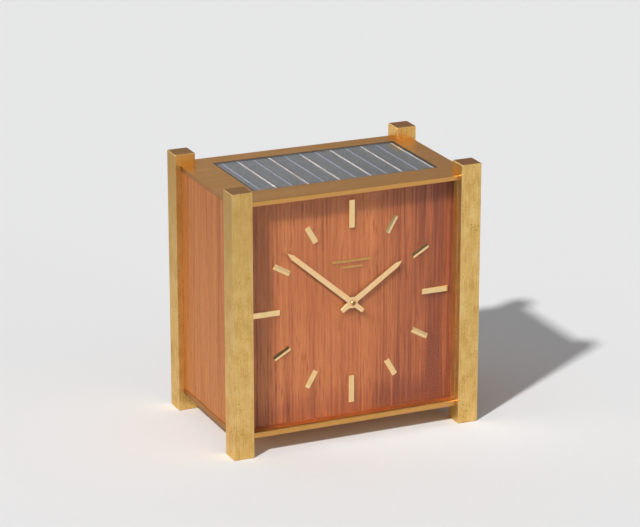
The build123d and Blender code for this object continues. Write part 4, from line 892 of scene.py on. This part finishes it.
# The crown lowers the upper face towards its long edges, as on a rolled conductor.
spot = put(row_tree, "ShaderNodeSeparateXYZ", {
    0: put(row_tree, "GeometryNodeInputPosition"),
}).outputs
aside = ("POWER", ("ABSOLUTE", spot["X"]), 2.0)
drop = ("MULTIPLY", ("MULTIPLY", aside, ("GREATER_THAN", spot["Z"], 0.0)), given["Crown"])
lower = put(row_tree, "ShaderNodeCombineXYZ", {"Z": ("MULTIPLY", drop, -4.0)})
block = put(row_tree, "GeometryNodeSetPosition", {"Geometry": block, "Offset": lower})
placed = put(row_tree, "GeometryNodeInstanceOnPoints", {
    "Points": seats, "Instance": block,
    "Scale": put(row_tree, "ShaderNodeCombineXYZ", {
        axis: ("SUBTRACT", end, start) for axis, start, end in (
            ("X", left, right), ("Y", low["Y"], high["Y"]), ("Z", low["Z"], high["Z"]),
        )
    }),
})
marked = put(row_tree, "GeometryNodeStoreNamedAttribute", {
    "Geometry": placed, "Name": "second",
    "Value": ("MODULO", put(row_tree, "GeometryNodeInputIndex"), 2.0),
}, data_type="FLOAT", domain="INSTANCE")
real = put(row_tree, "GeometryNodeRealizeInstances", {0: marked})
second = put(row_tree, "GeometryNodeInputNamedAttribute", {"Name": "second"}, data_type="FLOAT")
for label, chosen in (("First finish", True), ("Second finish", ("GREATER_THAN", second, 0.5))):
    real = put(row_tree, "GeometryNodeSetMaterial", {
        0: real, "Material": given[label], "Selection": chosen,
    })
close_tree(row_tree, [real])

# %% Strips and conductors
cell_low, cell_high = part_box("solar_cells")
ribbon_low, ribbon_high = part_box("cell_ribbons")
STRIPS, PITCH, CELL_GAP, RIBBON_WIDE = 12, 10.952 * MM, 0.45 * MM, 1.1 * MM
for name, low, high, wide, crown, finishes, node_name, finish_slot in (
    ("silicon_strips", cell_low, cell_high, PITCH - CELL_GAP, 0.02, (silicon, silicon),
     "solar_cells", "cell_silicon"),
    ("strip_conductors", ribbon_low, ribbon_high, RIBBON_WIDE, 0.35, (old_tin, tin),
     "cell_ribbons", "ribbon_tin"),
):
    row = grow(row_tree, {
        "Count": STRIPS, "First right edge": high.x - (STRIPS - 1) * PITCH,
        "Left limit": cell_low.x, "Pitch": PITCH, "Wide": wide, "Low corner": low,
        "High corner": high, "Crown": crown, "First finish": finishes[0],
        "Second finish": finishes[1],
    })
    settle(name, forms_of(row), "case", node_name)

# %% [markdown]
# ## Screws
# The frame, the movement, the tray and the board are held by slotted cheese-head screws. Every
# solid screw says where its own head sits and which way it looks, so those places are read from
# the solids, and a tree puts a real slotted head and a shank on each. A fixed seed turns the
# slots at random, as a maker's screwdriver leaves them.

# %% Where the screws are


def separate_solids(node):
    """The loose solids of a node, each as a list of its points."""
    work = bmesh.new()
    work.from_mesh(node.data)
    bmesh.ops.remove_doubles(work, verts=work.verts, dist=1e-6)
    left, solids = set(work.verts), []
    while left:
        found, queue = [], [left.pop()]
        while queue:
            vert = queue.pop()
            found.append(vert.co.copy())
            for edge in vert.link_edges:
                other = edge.other_vert(vert)
                if other in left:
                    left.remove(other)
                    queue.append(other)
        solids.append(found)
    work.free()
    return solids


def screw_facts(points):
    """Seat and outward direction of a screw, and how far to scale its head and its shank."""
    low, high = ([pick(p[i] for p in points) for i in range(3)] for pick in (min, max))
    middle = [(a + b) / 2 for a, b in zip(low, high)]
    axis = max(range(3), key=lambda i: high[i] - low[i])
    sides = [i for i in range(3) if i != axis]
    off = [(math.hypot(*(p[i] - middle[i] for i in sides)), p[axis]) for p in points]
    head = max(radius for radius, along in off)
    rim = [along for radius, along in off if radius > 0.95 * head]
    way = 1.0 if sum(rim) / len(rim) > middle[axis] else -1.0
    seat, tip = (min(rim), low[axis]) if way > 0 else (max(rim), high[axis])
    shank = max(radius for radius, along in off if abs(along - tip) < 1e-5)
    place, out = list(middle), [0.0, 0.0, 0.0]
    place[axis], out[axis] = seat, way
    return place, out, (head, head, max(rim) - min(rim)), (shank, shank, abs(seat - tip))


_, _, head, shank = screw_facts(separate_solids(nodes["case_screws"])[0])
print("one case screw: head radius", round(head[0] / MM, 2), "length", round(shank[2] / MM, 2))

# %% A tree that sets slotted screws on those places
screw_tree, given = new_tree("slotted_screws", {
    "Places": "Geometry", "Slot width": "Float", "Slot depth": "Float", "Chamfer": "Float",
    "Seed": "Int", "Finish": "Material",
})
fact = {
    name: put(screw_tree, "GeometryNodeInputNamedAttribute", {"Name": name},
              data_type="FLOAT_VECTOR")
    for name in ("out", "head", "shank")
}
# Head and shank start as cylinders of size one, above and below the seat.
head, shank = (
    put(screw_tree, "GeometryNodeTransform", {
        "Geometry": put(screw_tree, "GeometryNodeMeshCylinder", {
            "Vertices": sides, "Radius": 1.0, "Depth": 1.0,
        }).outputs["Mesh"], "Translation": (0, 0, up),
    }) for sides, up in ((32, 0.5), (20, -0.5))
)
upward = put(screw_tree, "ShaderNodeSeparateXYZ", {
    0: put(screw_tree, "GeometryNodeInputNormal"),
}).outputs["Z"]
crowned = put(screw_tree, "GeometryNodeExtrudeMesh", {
    "Mesh": head, "Offset Scale": given["Chamfer"], "Selection": ("GREATER_THAN", upward, 0.5),
}, mode="FACES").outputs
crowned_top = put(screw_tree, "GeometryNodeScaleElements", {
    "Geometry": crowned["Mesh"], "Selection": crowned["Top"],
    "Scale": ("SUBTRACT", 1.0, given["Chamfer"]),
}, domain="FACE")
squat = put(screw_tree, "GeometryNodeTransform", {
    "Geometry": crowned_top,
    "Scale": put(screw_tree, "ShaderNodeCombineXYZ", {
        "X": 1.0, "Y": 1.0, "Z": ("DIVIDE", 1.0, ("ADD", 1.0, given["Chamfer"])),
    }),
})
cutter = put(screw_tree, "GeometryNodeMeshCube", {
    "Size": put(screw_tree, "ShaderNodeCombineXYZ", {
        "X": 3.0, "Y": given["Slot width"], "Z": ("MULTIPLY", given["Slot depth"], 2.0),
    }),
}).outputs["Mesh"]
cutter = put(screw_tree, "GeometryNodeTransform", {"Geometry": cutter, "Translation": (0, 0, 1)})
slotted = put(screw_tree, "GeometryNodeMeshBoolean", {"Mesh 1": squat, "Mesh 2": cutter},
              operation="DIFFERENCE", solver="EXACT")
look = put(screw_tree, "FunctionNodeAlignRotationToVector", {"Vector": fact["out"]}, axis="Z")
spin = put(screw_tree, "FunctionNodeRandomValue", {
    2: 0.0, 3: math.pi, "Seed": given["Seed"],
}, data_type="FLOAT").outputs[1]
twist = put(screw_tree, "FunctionNodeAxisAngleToRotation", {"Axis": (0, 0, 1), "Angle": spin})
facing = put(screw_tree, "FunctionNodeRotateRotation", {
    "Rotation": look, "Rotate By": twist,
}, rotation_space="LOCAL")
placed = [
    put(screw_tree, "GeometryNodeInstanceOnPoints", {
        "Points": given["Places"], "Instance": form, "Rotation": facing, "Scale": fact[name],
    }) for form, name in ((slotted, "head"), (shank, "shank"))
]
close_tree(screw_tree, placed, given["Finish"])

# %% Read, grow and place the screws
# Shares of a head's radius and height.
SLOT_WIDE, SLOT_DEEP, HEAD_CHAMFER = 0.3, 0.45, 0.14


def screws_like(node_name, piece_name, seed):
    """Slotted screws in the places of a node's plain ones."""
    facts = [screw_facts(points) for points in separate_solids(nodes[node_name])]
    host = mesh_object("places", [fact[0] for fact in facts], [])
    for place, name in enumerate(("out", "head", "shank"), start=1):
        host.data.attributes.new(name, "FLOAT_VECTOR", "POINT").data.foreach_set(
            "vector", [value for fact in facts for value in fact[place]])
    mesh = grow(screw_tree, {
        "Slot width": SLOT_WIDE, "Slot depth": SLOT_DEEP, "Chamfer": HEAD_CHAMFER, "Seed": seed,
        "Finish": steel,
    }, host)
    print(node_name, "has", len(facts), "screws")
    settle(piece_name, forms_of(mesh), "case", node_name)


screws_like("case_screws", "slotted_case_screws", 4)
screws_like("movement_screws", "slotted_movement_screws", 9)

# %% [markdown]
# ## Door knob
# The knob is turned brass: a short stem, a head with a rounded rim, and a shallow dish in its
# front, where the tool leaves fine rings.

# %% Turned door knob
knob = turned((62.7, 51.0, CENTRE_Z), (0, 1, 0), [
    (0, 0), (0, 2.4), (0.5, 2.15), (1.1, 2.3), (1.4, 3.4), (1.5, 4.5), (1.85, 4.9), (2.3, 5.0),
    (2.75, 4.86), (3.1, 4.5), (3.3, 4.0), (3.36, 3.5), (3.22, 3.2), (3.12, 2.4), (3.05, 1.2),
    (3.03, 0.0),
], turned_brass, sides=72)
settle("turned_door_knob", [knob], "rear_door", "door_knob")

# %% [markdown]
# ## Accumulators
# Two rechargeable cells lie in the holder. Each is a steel can in a shrink sleeve whose ends curl
# over the rim, with a dark insulating washer round the raised contact.

# %% Two sleeved cells
CELL_REACH, CELL_AXIS_Z = 25.8, 24.4
cells = []
for row_y, way in ((18.0, 1), (34.0, -1)):
    start, out = (-way * CELL_REACH, row_y, CELL_AXIS_Z), (way, 0, 0)
    cells.append(turned(start, out, [
        (0, 0), (0, 4.6), (0.12, 5.0), (0.12, 6.0), (0.7, 6.9), (49.8, 6.9), (50.4, 6.3),
        (50.4, 5.4), (50.25, 5.1), (50.25, 0),
    ], steel))
    cells.append(turned(start, out, [
        (0.02, 5.5), (0.0, 6.2), (0.25, 6.75), (0.8, 7.1), (49.8, 7.1), (50.35, 6.75),
        (50.6, 6.2), (50.58, 5.5), (50.45, 5.5), (50.45, 6.2), (49.8, 6.95), (0.8, 6.95),
        (0.15, 6.2), (0.15, 5.5),
    ], sleeve, hollow=True))
    cells.append(turned(start, out, [
        (50.2, 2.7), (50.42, 2.7), (50.42, 5.3), (50.2, 5.3),
    ], phenolic, hollow=True))
    cells.append(turned(start, out, [
        (50.2, 0), (50.2, 2.5), (51.35, 2.5), (51.55, 2.3), (51.6, 2.0), (51.6, 0),
    ], steel))
settle("sleeved_cells", cells, "case", "accumulator_cells")

# %% [markdown]
# ## Wires
# Six insulated leads join the strips, the accumulators, the motor and the board. Each is a
# smooth curve through a few points. A tree covers it with insulation, except for a short end
# where the tinned strands show. The parts on the board are held by bare wires of the same kind.

# %% A tree for wires
wire_tree, given = new_tree("insulated_wires", {
    "Path": "Object", "Radius": "Float", "Strand radius": "Float", "Bare end": "Float",
    "Cover": "Material", "Strand": "Material",
})
path = put(wire_tree, "GeometryNodeObjectInfo", {"Object": given["Path"]}).outputs["Geometry"]
whole = put(wire_tree, "GeometryNodeSplineLength").outputs["Length"]
covered = put(wire_tree, "GeometryNodeTrimCurve", {
    "Curve": path, 4: given["Bare end"],
    5: ("SUBTRACT", whole, given["Bare end"]),
}, mode="LENGTH")
tubes = []
for line, radius, finish, sides in (
    (covered, given["Radius"], given["Cover"], 14),
    (path, given["Strand radius"], given["Strand"], 8),
):
    section = put(wire_tree, "GeometryNodeCurvePrimitiveCircle", {
        "Resolution": sides, "Radius": radius,
    }).outputs["Curve"]
    tube = put(wire_tree, "GeometryNodeCurveToMesh", {
        "Curve": line, "Profile Curve": section, "Fill Caps": True,
    })
    tubes.append(put(wire_tree, "GeometryNodeSetMaterial", {0: tube, "Material": finish}))
close_tree(wire_tree, tubes)

# %% Lay the wires


def smooth_paths(routes):
    """A curve object with one smooth spline through each list of points, in millimetres."""
    data = bpy.data.curves.new("paths", "CURVE")
    data.dimensions = "3D"
    for route in routes:
        line = data.splines.new("NURBS")
        line.points.add(len(route) - 1)
        for point, spot in zip(line.points, route):
            point.co = (*(Vector(spot) * MM), 1.0)
        line.order_u, line.use_endpoint_u, line.resolution_u = 3, True, 8
    return add_object("paths", data)


def wires(routes, radius, strand, bare, cover):
    """Forms of wires along these routes."""
    paths = smooth_paths(routes)
    mesh = grow(wire_tree, {
        "Path": paths, "Radius": radius * MM, "Strand radius": strand * MM,
        "Bare end": bare * MM, "Cover": cover, "Strand": tin,
    })
    bpy.data.objects.remove(paths)
    return forms_of(mesh)


def moved(route, step):
    """The same route, shifted."""
    return [tuple(a + b for a, b in zip(spot, step)) for spot in route]


BOARD_TOP = 20.9
LEAD_RADIUS, STRAND_RADIUS, BARE_END = 0.6, 0.36, 1.6
from_strips = [(-60, 28, 163.2), (-60, 28, 147.2), (-68, 27, 127.2), (-71, 25, 95.2),
               (-70, 27, 61.2), (-60, 21, 36.9), (-60, 21, BOARD_TOP)]
from_motor = [(-10.97, 27, 89.82), (-10.97, 36, 89.82), (-20.97, 39.5, 74.82),
              (-34.97, 36, 56.82), (-44, 24, 40.82), (-46, 13, 29.9), (-46, 13, BOARD_TOP)]
from_cells = [
    [(-26.4, 18, 31.1), (-26.4, 18, 37.1), (-32.4, 19.2, 40.6), (-41, 20.4, 38.1),
     (-46, 21, 31.1), (-46, 21, BOARD_TOP)],
    [(-26.4, 34, 31.1), (-26.4, 34, 37.1), (-32.4, 30.8, 40.6), (-41, 27.6, 38.1),
     (-46, 26, 31.1), (-46, 26, BOARD_TOP)],
]
red_routes = [from_strips, from_motor, from_cells[0]]
black_routes = [moved(from_strips, (4, 1.5, 0)), moved(from_motor, (2.2, 0, 0.8)), from_cells[1]]
leads = [
    form for routes, cover in ((red_routes, lead_red), (black_routes, lead_black))
    for form in wires(routes, LEAD_RADIUS, STRAND_RADIUS, BARE_END, cover)
]
settle("six_leads", leads, "case", "wiring")

# %% [markdown]
# ## Parts on the board
# The board carries a smoothing capacitor, a diode that keeps the cells from running down at
# night, and two resistors with painted value bands. Each hangs on two bare wires that bend down
# into the board, and a small cone of solder holds every wire.

# %% Components, their wires and the solder
WIRE_REACH = 1.6
parts, tails, joints = [], [], []


def body_on_board(x0, y, radius, profile, finish, bands=()):
    """A part lying along X, with painted bands as (start, width, inside, outside, finish)."""
    start = (x0, y, BOARD_TOP + radius)
    parts.append(turned(start, (1, 0, 0), profile, finish, sides=32))
    for place, wide, inside, outside, paint in bands:
        parts.append(turned(start, (1, 0, 0), [
            (place, inside), (place, outside), (place + wide, outside), (place + wide, inside),
        ], paint, sides=32, hollow=True))
    for end, way in ((0, -1), (profile[-1][0], 1)):
        x, z = x0 + end, start[2]
        foot = x + way * WIRE_REACH
        tails.append([(x - way * 0.4, y, z), (x + way * 1.0, y, z), (foot, y, z),
                      (foot, y, z - 0.6), (foot, y, BOARD_TOP)])
        joints.append((foot, y))


body_on_board(-64, 12, 3.6, [
    (0, 0), (0, 2.9), (0.25, 3.3), (0.9, 3.5), (1.5, 3.45), (1.9, 3.15), (2.3, 3.45), (2.8, 3.55),
    (12.3, 3.55), (12.8, 3.2), (13, 2.7), (13, 0),
], capacitor_sleeve, [(10.2, 0.9, 3.35, 3.564, paint_white)])
body_on_board(-53, 31, 1.4, [
    (0, 0), (0, 1.0), (0.3, 1.3), (4.7, 1.3), (5, 1.0), (5, 0),
], phenolic, [(3.7, 0.7, 1.15, 1.386, paint_white)])
for row_y, colours in ((31.0, (paint_brown, paint_black, paint_red, paint_gold)),
                       (26.5, (paint_red, paint_violet, paint_orange, paint_gold))):
    body_on_board(-64, row_y, 1.2, [
        (0, 0), (0, 0.7), (0.25, 1.1), (1.0, 1.15), (1.5, 0.98), (5.0, 0.98), (5.5, 1.15),
        (6.25, 1.1), (6.5, 0.7), (6.5, 0),
    ], component_lacquer, [
        (place, 0.45, 0.8, outside, paint) for place, outside, paint in
        zip((0.55, 2.0, 3.0, 5.6), (1.165, 1.0, 1.0, 1.165), colours)
    ])

tail_forms = wires(tails, radius=0.3, strand=0.29, bare=0.01, cover=tin)
joints += [(route[-1][0], route[-1][1]) for route in red_routes + black_routes]
for x, y in joints:
    parts.append(turned((x, y, BOARD_TOP - 0.02), (0, 0, 1), [
        (0, 0), (0, 1.0), (0.12, 0.85), (0.35, 0.55), (0.75, 0.42), (0.8, 0),
    ], tin, sides=16))
settle("parts_on_board", parts + tail_forms, "case", "board_components")

# %% [markdown]
# ## Dress the solids
# A solid whose shape is right stays. It keeps its place and mesh and only changes its finish:
# this table says which finish each one wears.

# %% Finishes for the solids that stay
WEARS = {
    post_brass: "post_front_left post_front_right post_rear_left post_rear_right",
    plate_brass: "top_plate base_plate",
    panel_wood: "side_panel_left side_panel_right rear_door",
    dial_wood: "dial_panel",
    batten_wood: "dial_battens",
    front_pane: "front_glass",
    cell_pane: "cell_cover_glass",
    rubber: "cell_gasket",
    phenolic: "cell_tray battery_holder",
    turned_brass: "setting_knob movement_pillars movement_feet",
    movement_brass: "movement_front_plate movement_back_plate barrel barrel_cover centre_wheel "
                    "third_wheel fourth_wheel escape_wheel balance_wheel minute_wheel hour_wheel "
                    "pallet_bridge motor_pinion motor_bracket",
    # The pipe's dark brown is painted shade in the hole of the nut.
    browned_and_shaded: "cannon_pinion",
    steel: "hinge_pins hinge_sleeves catch_plate barrel_arbor "
           "pallet_fork setting_arbor hairspring_stud",
    spring_steel: "mainspring hairspring battery_contacts",
    ferrite: "catch_magnet",
    motor_metal: "winding_motor",
    laminate: "charging_board",
}
dressed = set()
for finish, names in WEARS.items():
    for name in names.split():
        body = nodes[name]
        if not body.material_slots:
            body.data.materials.append(finish)
        for place in body.material_slots:
            place.material = finish
        dressed.add(name)
shown = {name for name, body in nodes.items() if not body.hide_render}
print("dressed", len(dressed), "solids; without a finish:", sorted(shown - dressed))
